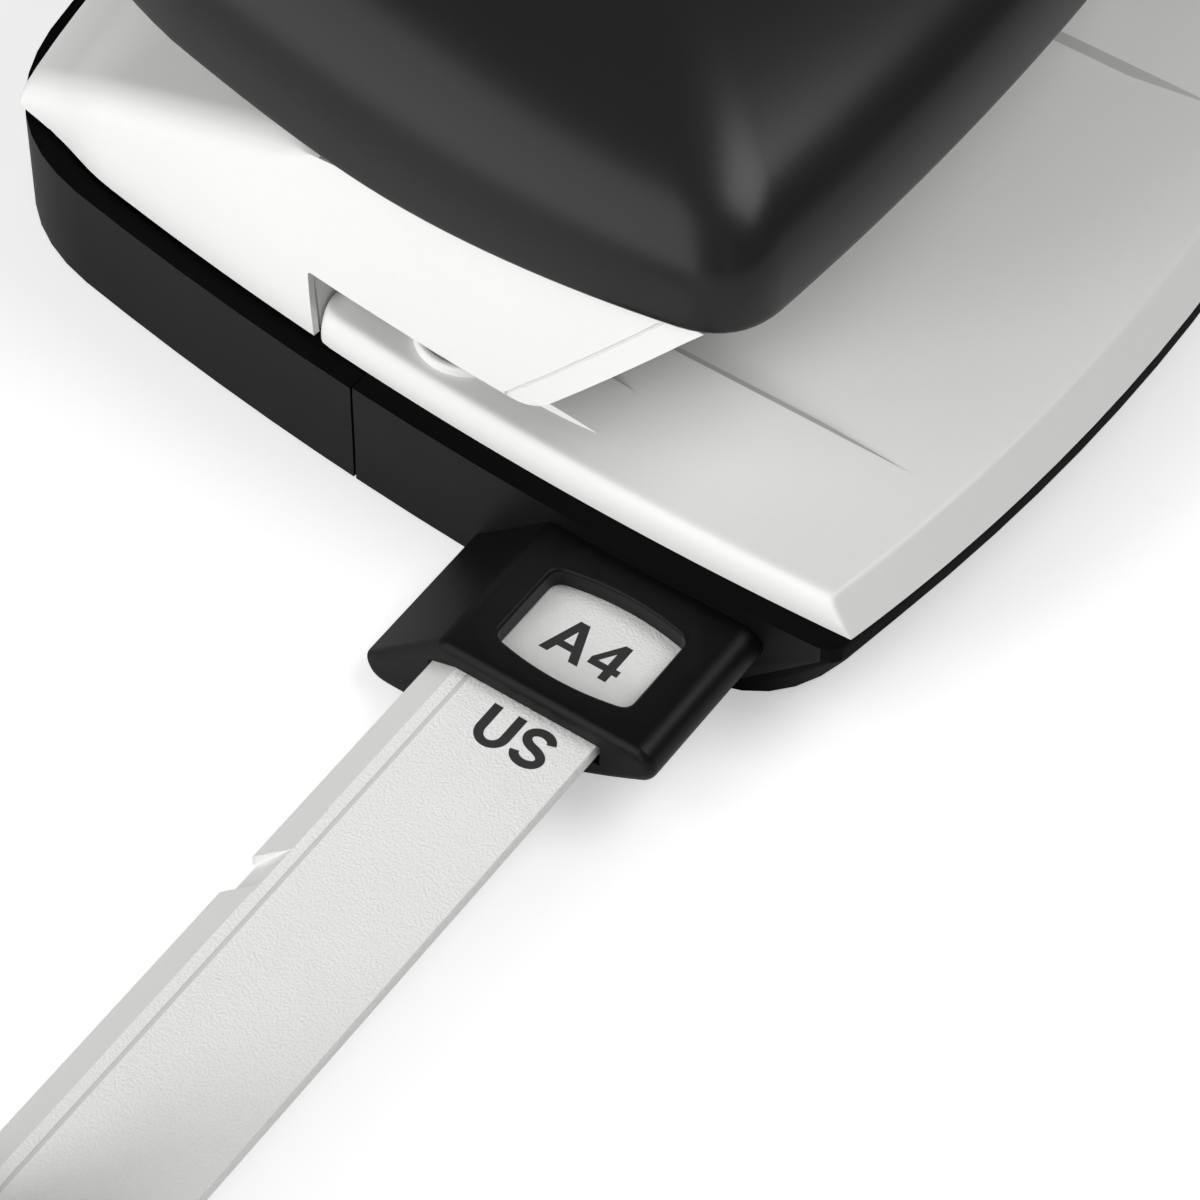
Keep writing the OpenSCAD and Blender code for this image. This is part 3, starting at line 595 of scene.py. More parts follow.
def dress(obj: Obj, finish: Finish, body: str) -> None:
    """Gives a new piece its finish and the body it moves with.

    Args:
        obj: The piece.
        finish: Its finish.
        body: Name of the CAD body.
    """
    obj.data.materials.clear()
    obj.data.materials.append(finish.material())
    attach(obj, body)
    log.info("%s: %d faces, %s, on %s", obj.name, len(obj.data.polygons), finish.name, body)


def skin(obj: Obj, finishes: Sequence[Finish],
         choose: Callable[[bpy.types.MeshPolygon], int]) -> None:
    """Gives some faces of a dressed piece other finishes.

    Args:
        obj: The piece.
        finishes: Finishes beside the one it has.
        choose: Number of a face's finish, where 0 is the one it has.
    """
    for finish in finishes:
        obj.data.materials.append(finish.material())
    for face in obj.data.polygons:
        face.material_index = choose(face)


def dress_node(node: str, finish: Finish) -> None:
    """Gives a CAD node a finish.

    Args:
        node: Name of the CAD node.
        finish: Its finish.
    """
    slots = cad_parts[node].material_slots
    if slots:
        for entry in slots:
            entry.material = finish.material()
    else:
        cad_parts[node].data.materials.append(finish.material())
    log.info("%s: %s", node, finish.name)


def bezier(a: Pair, b: Pair, c: Pair, t: float) -> Pair:
    """Returns a point of a quadratic curve with corner b."""
    return tuple(p * (1 - t) ** 2 + q * 2 * t * (1 - t) + r * t * t for p, q, r in zip(a, b, c))


def blend(low: float, high: float, value: float) -> float:
    """Returns a smooth 0 to 1 step between two values."""
    t = min(1.0, max(0.0, (value - low) / (high - low)))
    return t * t * (3 - 2 * t)


def soft_min(a: float, b: float, k: float) -> float:
    """Returns the smaller of two heights with a rounded change of width k."""
    h = max(k - abs(a - b), 0.0) / k
    return min(a, b) - h * h * k * 0.25


@dataclass
class BodyPlan:
    """Plan curves that the white pieces share, in millimetres."""

    half_w: float = 48.9
    side_r: float = 390.0
    widest_y: float = -30.0
    front_y: float = -58.4
    front_r: float = 234.0
    back_r: float = 160.0
    lean: float = 0.0058
    foot_z: float = 14.5

    def front(self, x: float) -> float:
        """Returns the front edge's place at x."""
        return self.front_y + x * x / (2 * self.front_r)

    def side(self, y: float) -> float:
        """Returns the half width at y."""
        return self.half_w - (y - self.widest_y) ** 2 / (2 * self.side_r)

    def wall(self, y: float, z: float) -> float:
        """Returns the half width of the leaning wall at a place and height."""
        return self.side(y) - self.lean * max(0.0, z - self.foot_z) ** 2


@dataclass
class HandleCap:
    """The domed press handle."""

    half_w: float = 48.8
    front_y: float = -39.9
    front_r: float = 376.0
    wide_y: float = -3.0
    side_r: float = 140.0
    rear_r: float = 260.0
    end_y: float = 61.0
    back_r: float = 90.0
    mid_y: float = 8.0
    rim_z: float = 42.0
    dome: float = 20.0
    wall: float = 2.0
    corner: float = 6.0
    back_corner: float = 24.0
    bend: float = 0.1
    bend_y: float = 2.0
    bend_r: float = 8.0
    crown: float = 3.0
    crown_y: float = 6.0
    crown_l: float = 24.0
    dome_tilt: float = 0.04
    dome_power: float = 3.5
    dome_round: float = 0.4

    def _front(self, x: float, t: float) -> float:
        """Returns the front edge at x, inset by t."""
        return self.front_y + t + x * x / (2 * self.front_r)

    def _back(self, x: float, t: float) -> float:
        """Returns the back edge at x, inset by t."""
        return self.end_y - t - x * x / (2 * self.back_r)

    def _side(self, y: float, t: float) -> float:
        """Returns the half width at y, inset by t."""
        r = self.side_r if y < self.wide_y else self.rear_r
        return self.half_w - t - (y - self.wide_y) ** 2 / (2 * r)

    def _plan(self, t: float) -> Outline:
        """Lays out the rim.

        Args:
            t: How far the outline is drawn in.

        Returns:
            Places round the rim, from the middle of the front.
        """
        xc = xb = self.half_w
        for _ in range(16):
            xc = self._side(self._front(xc, t), t)
            xb = self._side(self._back(xb, t), t)
        yc, yb = self._front(xc, t), self._back(xb, t)
        xf, ys = xc - self.corner, yc + self.corner
        xk, ye = xb - self.back_corner, yb - self.back_corner
        half = [(x, self._front(x, t)) for x in (xf * i / 14 for i in range(14))]
        half += [bezier((xf, self._front(xf, t)), (xc, yc), (self._side(ys, t), ys), i / 10)
                 for i in range(11)]
        half += [(self._side(y, t), y) for y in (ys + (ye - ys) * i / 26 for i in range(1, 26))]
        half += [bezier((self._side(ye, t), ye), (xb, yb), (xk, self._back(xk, t)), i / 18)
                 for i in range(19)]
        half += [(x, self._back(x, t)) for x in (xk * (1 - i / 10) for i in range(1, 11))]
        return half + [(-x, y) for x, y in half[-2:0:-1]]

    def _rim(self, y: float) -> float:
        """Returns the rim's height at y."""
        back = y - self.bend_y
        return self.rim_z + self.bend * (math.hypot(back, self.bend_r) + back)

    def _rise(self, y: float) -> float:
        """Returns the dome's height above the rim at y."""
        crown = self.crown * math.exp(-((y - self.crown_y) / self.crown_l) ** 2)
        return self.dome + self.dome_tilt * (y - self.mid_y) + crown

    def _ring(self, t: float, f: float, lift: float, cut: float) -> Ring:
        """Lays out one ring of the dome.

        Args:
            t: How far the rim's outline is drawn in.
            f: Share of the dome's height.
            lift: Height above the rim.
            cut: How much lower the dome is.

        Returns:
            The ring's points.
        """
        s = max(0.0, 1 - f ** self.dome_power) ** self.dome_round
        ring = []
        for px, py in self._plan(t):
            x, y = px * s, self.mid_y + (py - self.mid_y) * s
            ring.append((x, y, self._rim(y) + lift + (self._rise(y) - cut) * f))
        return ring

    def build(self) -> None:
        """Builds the shell with a rounded rim and dresses it."""
        steps = [math.sin(math.pi / 2 * i / 26) for i in range(1, 26)]
        inner = [self._ring(self.wall, f, 0.0, self.wall) for f in reversed(steps)]
        rim = ((self.wall, 0.35), (self.wall - 0.3, 0.0), (0.5, 0.0), (0.15, 0.12), (0.02, 0.42))
        lip = [self._ring(inset, 0.0, lift, 0.0) for inset, lift in rim]
        outer = [self._ring(0.0, f, 0.0, 0.0) for f in steps]
        top = self._rim(self.mid_y) + self._rise(self.mid_y)
        tips = ((0, self.mid_y, top - self.wall), (0, self.mid_y, top))
        obj = Bench.loft("handle_cap", inner + lip + outer, tips)
        Bench.smooth(obj, 50.0)
        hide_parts("handle_shell")
        dress(obj, Finishes.HANDLE, "handle")


@dataclass
class Deck:
    """The white deck with its rolled rim, front bevel, sunk middle and die rings."""

    plan: BodyPlan
    top_z: float = 18.0
    foot_z: float = 14.5
    bevel: float = 3.4
    bevel_r: float = 0.5
    rim: float = 1.8
    rim_r: float = 0.25
    end_y: float = 11.1
    scoop_half: float = 30.0
    scoop_y: float = -47.5
    scoop_slope: float = 1.5 / 25.5
    sheet: float = 1.2
    hole_x: float = 40.0
    hole_y: float = -3.0
    hole_r: float = 4.9
    ring_r: float = 5.5
    nose_r: float = 1.5
    crease_w: float = 3.4
    step_z: float = 0.6
    step_slope: float = 0.6
    step_tip: float = 0.06
    gather_w: float = 4.5
    gather_l: float = 3.0
    spread: int = 6
    ramp_half: float = 3.3
    ramp_y: float = -20.8
    ramp_rise: float = 0.85
    ramp_in: float = 2.2
    ramp_out: float = 1.2
    ramp_sink: float = 0.1
    ramp_root: float = 0.5
    ramp_r: float = 0.12
    ramp_into: float = 1.2
    tongue_w: float = 72.0
    tongue_l: float = 30.0
    tongue_y: float = 25.2
    tongue_r: float = 3.0
    edge_r: float = 0.25

    MIDDLE = (0, 6, 12, 18, 23)
    BY_FOLD = (-4.5, -3.7, -3.1, -2.6, -2.1, -1.7, -1.3, -1.0, -0.75, -0.55, -0.4, -0.28, -0.18,
               -0.1, -0.04, 0.02, 0.1, 0.3, 0.7, 1.6, 3.0, 4.2)
    BY_DIE = (-5.0, -4.2, -3.6, -3.4, -3.2, -3.0, -2.8, -2.2, -1.4, -0.6, 0.2, 1.0, 1.8, 2.6,
              2.8, 3.0, 3.2, 3.4, 3.6, 4.2, 5.0)
    BY_EDGE = (-3.1, -2.4, -1.9)
    FRONT_ROWS = (0, 0.25, 0.5, 0.75, 0.86, 0.93, 1.0, 1.0025, 1.005, 1.01)
    END_ROWS = (1.988, 1.992, 1.9955, 1.998, 1.9992, 2.0)
    DECK_ROWS = 62
    RIM_STEPS = 10
    RAMP_STEPS = 12
    RING_STEPS = 72
    RING = ((3.4, 17.0), (3.4, 18.6), (3.5, 18.66), (4.5, 18.66), (4.64, 18.7), (4.74, 18.82),
            (4.88, 18.86), (5.2, 18.86), (5.38, 18.78), (5.5, 18.55), (5.6, 17.9), (5.6, 17.0))

    def _columns(self) -> list[float]:
        """Lays out the grid across half of the deck.

        Returns:
            Distances from the deck's middle, close together by the fold, the die and the rim.
        """
        half_w = self.plan.half_w
        out = [*self.MIDDLE]
        for middle, steps in ((self.scoop_half, self.BY_FOLD), (self.hole_x, self.BY_DIE),
                              (half_w, self.BY_EDGE)):
            out += [middle + step for step in steps]
        turns = (math.pi / 2 * i / self.RIM_STEPS for i in range(1, self.RIM_STEPS + 1))
        return out + [half_w - self.rim * (1 - math.sin(a)) for a in turns]

    def _rows(self) -> list[float]:
        """Lays out the grid from the front edge to the back one.

        Returns:
            Places along the deck, where 1 is the bevel's top and 2 the back edge.
        """
        first, count = self.FRONT_ROWS[-1] + 0.01, self.DECK_ROWS
        field = [first + (2 - first) * i / count for i in range(count)]
        return [*self.FRONT_ROWS, *field, *self.END_ROWS]

    def _spot(self, column: float, row: float) -> Point:
        """Finds the finished point for a grid place.

        Args:
            column: Place across the deck.
            row: Place from the front edge, where 1 is the bevel's top.

        Returns:
            The point on the upper face.
        """
        sign, c = (1 if column >= 0 else -1), abs(column)
        edge = self.plan.front(c)
        crest = edge + self.bevel
        y = edge + self.bevel * row if row <= 1 else crest + (self.end_y - crest) * (row - 1)
        half = self.plan.half_w
        x = self._gather(c + (self._side(y) - half) * (c / half) ** self.spread, y)
        return (sign * x, y, self._height(x, y, y - edge))

    def _step(self, y: float) -> float:
        """Returns how far the fold's step drops at a place along it."""
        return min(self.step_z, max(0.0, y - self.scoop_y) * self.scoop_slope)

    def _gather(self, x: float, y: float) -> float:
        """Draws a grid place in to the fold's step, which narrows to its tip.

        Args:
            x: Distance from the deck's middle.
            y: Place along the deck.

        Returns:
            The new distance.
        """
        full, inward = self.step_z / self.step_slope, self.scoop_half - x
        ahead = min(1.0, (self.scoop_y - y) / self.gather_l)
        width = max(self.step_tip, self._step(y) / self.step_slope, full * ahead)
        if 0 < inward <= full:
            return self.scoop_half - inward * width / full
        if full < inward < self.gather_w:
            share = (inward - full) / (self.gather_w - full)
            return self.scoop_half - width - (self.gather_w - width) * share
        return x

    def _side(self, y: float) -> float:
        """Returns the deck's half width at a place, with its rear end rounded."""
        t = min(1.0, max(0.0, (y - self.end_y + self.nose_r) / self.nose_r))
        return self.plan.side(y) - self.nose_r * (1 - math.sqrt(1 - t * t))

    def _height(self, x: float, y: float, from_front: float) -> float:
        """Finds how high the upper face is.

        Args:
            x: Distance from the deck's middle.
            y: Place along the deck.
            from_front: Distance from the front edge.

        Returns:
            The height.
        """
        drop = self.top_z - self.foot_z
        inside = min(self.rim, max(0.0, self._side(y) - x))
        rolled = self.foot_z + drop * math.sqrt(max(0.0, 1 - (1 - inside / self.rim) ** 2))
        front = self.foot_z + drop * from_front / self.bevel
        z = soft_min(soft_min(self.top_z, front, self.bevel_r), rolled, self.rim_r)
        sunk = max(0.0, y - self.scoop_y) * self.scoop_slope
        inward = max(0.0, self.scoop_half - x)
        step = self._step(y)
        fold = min(1.0, max(0.0, inward - step / self.step_slope) / self.crease_w)
        return z - min(step, inward * self.step_slope) - (sunk - step) * (1 - (1 - fold) ** 2)

    def _ramp(self, name: str, x0: float) -> None:
        """Builds the low wedge that leads the paper up to one die ring.

        Args:
            name: Name of the piece.
            x0: Place of the die.
        """
        rings = []
        long = self.hole_y - self.ring_r + self.ramp_into - self.ramp_y
        foot_z = self.top_z - self.ramp_root
        for i in range(self.RAMP_STEPS + 1):
            t = i / self.RAMP_STEPS
            rise = max(0.02, self.ramp_rise * (1 - (1 - t) ** 2))
            high, r = rise - self.ramp_sink, min(self.ramp_r, 0.2 * rise)
            top = self.top_z + high
            arc = [(self.ramp_half - r * (1 - math.sin(a)), top - r * (1 - math.cos(a)))
                   for a in (math.pi / 2 * (1 - k / 5) for k in range(6))]
            down = high - r + self.ramp_root
            inner, outer = ([(self.ramp_half + side * (1 - t) * down, foot_z)] + arc
                            for side in (self.ramp_in, self.ramp_out))
            edge = inner + [(-x, z) for x, z in reversed(outer)]
            y = self.ramp_y + long * t
            rings.append([(x0 - math.copysign(1, x0) * x, y, z) for x, z in edge])
        tips = tuple((x0, ring[0][1], self.top_z - 0.2) for ring in (rings[0], rings[-1]))
        obj = Bench.loft(name, rings, tips)
        Bench.smooth(obj, 40.0)
        dress(obj, Finishes.WHITE, "frame")

    def _die_ring(self, name: str, x0: float) -> None:
        """Turns the raised ring round one die.

        Args:
            name: Name of the piece.
            x0: Place of the die.
        """
        turns = [math.tau * i / self.RING_STEPS for i in range(self.RING_STEPS)]
        rings = [[(x0 + r * math.cos(a), self.hole_y + r * math.sin(a), z) for a in turns]
                 for r, z in self.RING]
        obj = Bench.loft(name, rings, closed=True)
        Bench.smooth(obj, 50.0)
        dress(obj, Finishes.WHITE, "frame")

    def _step_shade_faces(self, face: bpy.types.MeshPolygon) -> int:
        """Returns 1 for a face on the fold's step, which gets painted shade, and 0 for another."""
        inward = (self.scoop_half - abs(face.center.x) / MM) * self.step_slope
        return int(0.0 < inward < self._step(face.center.y / MM) and face.normal.z > 0)

    def build(self) -> None:
        """Builds the deck sheet, the die rings, the ramps and the tongue and dresses them."""
        half, rows = self._columns(), self._rows()
        columns = [-c for c in reversed(half[1:])] + half
        wide, deep = len(columns) - 1, len(rows) - 1
        obj = Bench.start("deck_sheet", bpy.ops.mesh.primitive_grid_add, x_subdivisions=wide,
                          y_subdivisions=deep, size=2)

        def place(co: Vector) -> Point:
            """Returns the finished point for a vertex of the grid."""
            i, j = round((co.x + 1) / 2 * wide), round((co.y + 1) / 2 * deep)
            return self._spot(columns[i], rows[j])

        with Bench.editing(obj):
            Bench.reshape(obj, place)
            spots = [Vector((s * self.hole_x * MM, self.hole_y * MM)) for s in (-1, 1)]
            bpy.ops.mesh.select_mode(type="FACE")
            bpy.ops.mesh.select_all(action="DESELECT")
            for face in Bench.live(obj).faces:
                if all(min((v.co.xy - s).length for s in spots) < self.hole_r * MM
                       for v in face.verts):
                    face.select_set(True)
            bmesh.update_edit_mesh(obj.data)
            bpy.ops.mesh.delete(type="FACE")
        Bench.thicken(obj, self.sheet, Vector((0, 0, 1)))
        Bench.smooth(obj, 40.0)
        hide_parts("deck_plate")
        dress(obj, Finishes.WHITE, "frame")
        # Painted shade: the fold's step faces get the darker white that stands for the crease's
        # shadow.
        skin(obj, (Finishes.FOLD_SHADE,), self._step_shade_faces)
        for name, s in (("die_collar_left", -1), ("die_collar_right", 1)):
            self._die_ring(name, s * self.hole_x)
            self._ramp(name.replace("die_collar", "paper_ramp"), s * self.hole_x)
        self._tongue()

    def _tongue(self) -> None:
        """Builds the flat tongue that carries the deck under the upper body."""
        obj = Bench.start("deck_tongue", bpy.ops.mesh.primitive_plane_add, size=1)
        with Bench.editing(obj):
            Bench.reshape(obj, lambda co: (self.tongue_w * co.x,
                                           self.tongue_y + self.tongue_l * co.y, self.top_z))
            bpy.ops.mesh.select_all(action="SELECT")
            bpy.ops.mesh.bevel(offset=self.tongue_r * MM, segments=5, affect="VERTICES")
        Bench.thicken(obj, self.sheet, Vector((0, 0, 1)))
        Bench.soften(obj, self.edge_r)
        Bench.smooth(obj)
        dress(obj, Finishes.WHITE, "frame")


@dataclass
class UpperBody:
    """The white pressed body: leaning walls, a falling roof and a raked front sheet."""

    plan: BodyPlan
    slot_y: float = 11.25
    slot_lean: float = 0.82
    stop_y: float = 11.3
    low_z: float = 14.8
    jaw_z: float = 23.2
    rake_y: float = -16.5
    rake_run: float = 16.8
    rake_top: float = 41.6
    roof_y: float = 12.0
    sheet: float = 0.8
    unit: float = 30.0
    shoulder: float = 3.0
    hem: float = 2.6
    score: float = 0.35
    score_w: float = 0.32
    web_half: float = 42.5
    wrap: Pair = (40.0, 57.0)
    edge_r: float = 0.25
    round_to: float = 45.0
    flange_t: float = 1.0
    flange_z: float = 14.6
    flange_up: float = 2.0
    fall: float = 17.7
    fall_power: float = 1.2
    pitch: float = 1.45
    tail_y: float = 56.2
    jaw_turn: float = 2.6

    TOP = ((-30.5, 41.4), (-15, 39), (0, 38.2), (12, 37.2))
    TAIL = ((57.2, 19.3), (58.4, 18.6), (59.2, 17.8), (59.7, 16.8), (59.95, 15.8))

    def __post_init__(self) -> None:
        """Lays out the top line from the front to the foot of the back."""
        front, (brow_y, brow_z) = self.rake_y - self.rake_run, self.TOP[-1]
        line = [(front, self.rake_top), *self.TOP]
        line += [(brow_y + 5.0 * i, brow_z - self.fall * (i / 9) ** self.fall_power)
                 for i in range(1, 10)]
        ys = [front + self.pitch * i for i in range(63)]
        self.stations = [(y, self._line(line, y)) for y in ys if y < self.tail_y]
        self.stations += [*self.TAIL, (60.0, self.low_z)]

    @staticmethod
    def _line(line: Sequence[Pair], y: float) -> float:
        """Smooths a broken line.

        Args:
            line: Places and heights of the line's corners.
            y: Place along the line.

        Returns:
            The smoothed height.
        """
        def raw(v: float) -> float:
            """Finds the line's own height.

            Args:
                v: Place along the line.

            Returns:
                The height.
            """
            for (a, p), (b, q) in zip(line, line[1:]):
                if v <= b:
                    return p + (q - p) * (max(v, line[0][0]) - a) / (b - a)
            return line[-1][1]
        return sum(raw(y + d) for d in range(-4, 5)) / 9

    def _top(self, y: float) -> Pair:
        """Finds a place in the top line.

        Args:
            y: Place along the body.

        Returns:
            The station number with its fraction, and the height.
        """
        for k, ((a, p), (b, q)) in enumerate(zip(self.stations, self.stations[1:])):
            if y <= b:
                t = (y - a) / (b - a)
                return k + t, p + (q - p) * t
        return len(self.stations) - 1.0, self.stations[-1][1]

    def _pattern(self, y: float, z: float) -> Pair:
        """Returns the pattern place of a wall point."""
        v, top = self._top(y)
        return 1 + max(0.0, top - z) / self.unit, v

    def _shape(self, u: float, v: float) -> Point:
        """Finds the finished point for a pattern place.

        Args:
            u: Place across the pattern, where 1 is the shoulder.
            v: Station number with its fraction.

        Returns:
            The point on the outer face.
        """
        k = min(int(v), len(self.stations) - 2)
        (a, p), (b, q) = self.stations[k], self.stations[k + 1]
        y, top = a + (b - a) * (v - k), p + (q - p) * (v - k)
        side = min(1.0, abs(u))
        z = top - max(0.0, abs(u) - 1) * self.unit
        x = side * self.plan.wall(y, z)
        x, z = self._round(x, z, y, top)
        y -= blend(*self.wrap, y) * x * x / (2 * self.plan.back_r)
        return math.copysign(x, u), y, z

    def _round(self, x: float, z: float, y: float, top: float) -> Pair:
        """Rolls a point near the shoulder of the roof onto its rounding.

        Args:
            x: The point's distance from the middle.
            z: Its height.
            y: Its place along the body.
            top: The roof's height there.

        Returns:
            The new distance and height.
        """
        r = self.shoulder * blend(self.roof_y, self.roof_y + 7, y)
        r = min(r, 0.8 * (top - self.low_z))
        edge = self.plan.wall(y, top)
        inward, down = edge - x if z >= top - 1e-9 else 0.0, top - z
        if r < 0.05 or inward >= r or down >= r:
            return x, z
        turn = math.radians(45 * (1 - inward / r) if down <= 0 else 45 * (1 + down / r))
        lean = self.plan.wall(y, top - r) - edge
        return (edge - r + r * math.sin(turn) + lean * (1 - math.cos(turn)),
                top - r + r * math.cos(turn))

    def _groove_tool(self, side: int) -> Obj:
        """Builds the form that scores the line beside the raked edge of one wall.

        Args:
            side: -1 for the left wall, 1 for the right one.

        Returns:
            The closed form.
        """
        run, rise = self.rake_run, self.rake_top - self.jaw_z
        long = math.hypot(run, rise)
        across = (rise / long, run / long)
        rings = []
        for i in range(25):
            t = -0.04 + 1.13 * i / 24
            ring = []
            for w, d in ((-0.5, 0.6), (0.5, 0.6), (0.5, -0.15), (0.0, -self.score), (-0.5, -0.15)):
                step = self.hem + w * self.score_w
                y = self.rake_y - run * (1 - t) + across[0] * step
                z = self.rake_top - rise * t + across[1] * step
                ring.append((side * (self.plan.wall(y, z) + d), y, z))
            rings.append(ring)
        return Bench.loft("groove_tool", rings, middles(rings))

    def _slot(self, z: float) -> float:
        """Returns where the leaning end of the paper slot is at a height."""
        return self.slot_y + self.slot_lean * (z - self.low_z) / (self.jaw_z - self.low_z)

    def _return(self, side: int) -> None:
        """Builds the flange that closes the paper slot's end beside one wall.

        Args:
            side: -1 for the left wall, 1 for the right one.
        """
        wall = self.plan.wall(self.slot_y, self.jaw_z) - self.sheet - 0.05
        low, high = self.flange_z, self.jaw_z + self.flange_up
        corners = [(wall, low), (wall, high), (self.web_half, high), (self.web_half, low)]
        front = [(side * x, self._slot(z) if x == wall else self.stop_y, z) for x, z in corners]
        rings = [front, [(x, y + self.flange_t, z) for x, y, z in front]]
        name = "slot_return_left" if side < 0 else "slot_return_right"
        obj = Bench.loft(name, rings, middles(rings))
        Bench.soften(obj, 0.2, 50.0, 2)
        Bench.smooth(obj, 40.0)
        dress(obj, Finishes.WHITE, "frame")

    def _outline(self) -> Outline:
        """Lays out the pattern from the roof's front round the right wall and back.

        Returns:
            Corners of the flat pattern.
        """
        foot, run, top = self.rake_y, self.rake_run, self.rake_top
        wall = [(self.roof_y - 1.5 * i, None) for i in range(1, 29)] + [(foot - run + 1.0, None)]
        wall += [(foot - run, top)]
        rise = top - self.jaw_z
        wall += [(foot - run * (1 - t), top - rise * t)
                 for t in (0.1, 0.2, 0.3, 0.4, 0.5, 0.6, 0.7, 0.8)]
        jaw = foot + self.jaw_turn
        wall += [bezier((foot - 0.12 * run, self.jaw_z + 0.12 * rise), (foot, self.jaw_z),
                        (jaw, self.jaw_z), i / 6) for i in range(7)]
        wall += [(jaw + 24.0 * i / 16, self.jaw_z) for i in range(1, 16)]
        wall += [(10.3, self.jaw_z), (self._slot(self.jaw_z) - 0.3, self.jaw_z)]
        wall += [(self._slot(z), z) for z in (self.jaw_z - 0.3, 21, 19.5, 18, 16.5, self.low_z)]
        wall += [(10.5 + 1.5 * i, self.low_z) for i in range(1, 31)]
        wall += [(y, self.low_z) for y, _ in self.TAIL[:4]]
        right = [(1.0, self._top(self.roof_y)[0])]
        for y, z in wall:
            right.append((1.0, self._top(y)[0]) if z is None else self._pattern(y, z))
        end = len(self.stations) - 1.0
        return right + [(1.0, end), (-1.0, end)] + [(-u, v) for u, v in reversed(right)]

    def build(self) -> None:
        """Builds the pressed body, its front sheet and its flanges and dresses them."""
        u_cuts = [s * (1 + 0.025 * i) for s in (-1, 1) for i in range(0, 5)]
        u_cuts += [s * (1 + 0.05 * i) for s in (-1, 1) for i in range(3, 17)]
        u_cuts += [0.1 * i for i in range(-9, 10)]
        u_cuts += [s * u for s in (-1, 1) for u in (0.92, 0.935, 0.955, 0.975, 0.99)]
        v_cuts = [float(i) for i in range(1, len(self.stations) - 1)]
        obj = Bench.sheet("pressed_body", self._outline(), u_cuts, v_cuts, self._shape)
        Bench.thicken(obj, self.sheet, Vector((0, 0.2, 1)))
        Bench.soften(obj, self.edge_r, 50.0, 2, lambda co: co.y < self.round_to * MM)
        Bench.cut(obj, [self._groove_tool(side) for side in (-1, 1)])
        Bench.smooth(obj, 40.0)
        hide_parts("upper_body")
        dress(obj, Finishes.WHITE, "frame")
        self._front_sheet()
        for side in (-1, 1):
            self._return(side)

    def _front_sheet(self) -> None:
        """Builds the raked sheet between the walls that leads the paper in."""
        rise = self.rake_top - self.jaw_z

        def shape(u: float, v: float) -> Point:
            """Returns the finished point for a pattern place."""
            y, z = self.rake_y + 0.6 - self.rake_run * v, self.jaw_z + rise * v
            return u * (self.plan.wall(y, z) - self.sheet), y, z

        rect = [(-1.0, 0.05), (1.0, 0.05), (1.0, 0.97), (-1.0, 0.97)]
        tenths = [0.1 * i for i in range(-9, 10)]
        obj = Bench.sheet("lead_in_sheet", rect, tenths, tenths[10:], shape)
        Bench.thicken(obj, self.sheet, Vector((0, -1, -0.6)))
        Bench.soften(obj, self.edge_r)
        Bench.smooth(obj)
        dress(obj, Finishes.WHITE, "frame")


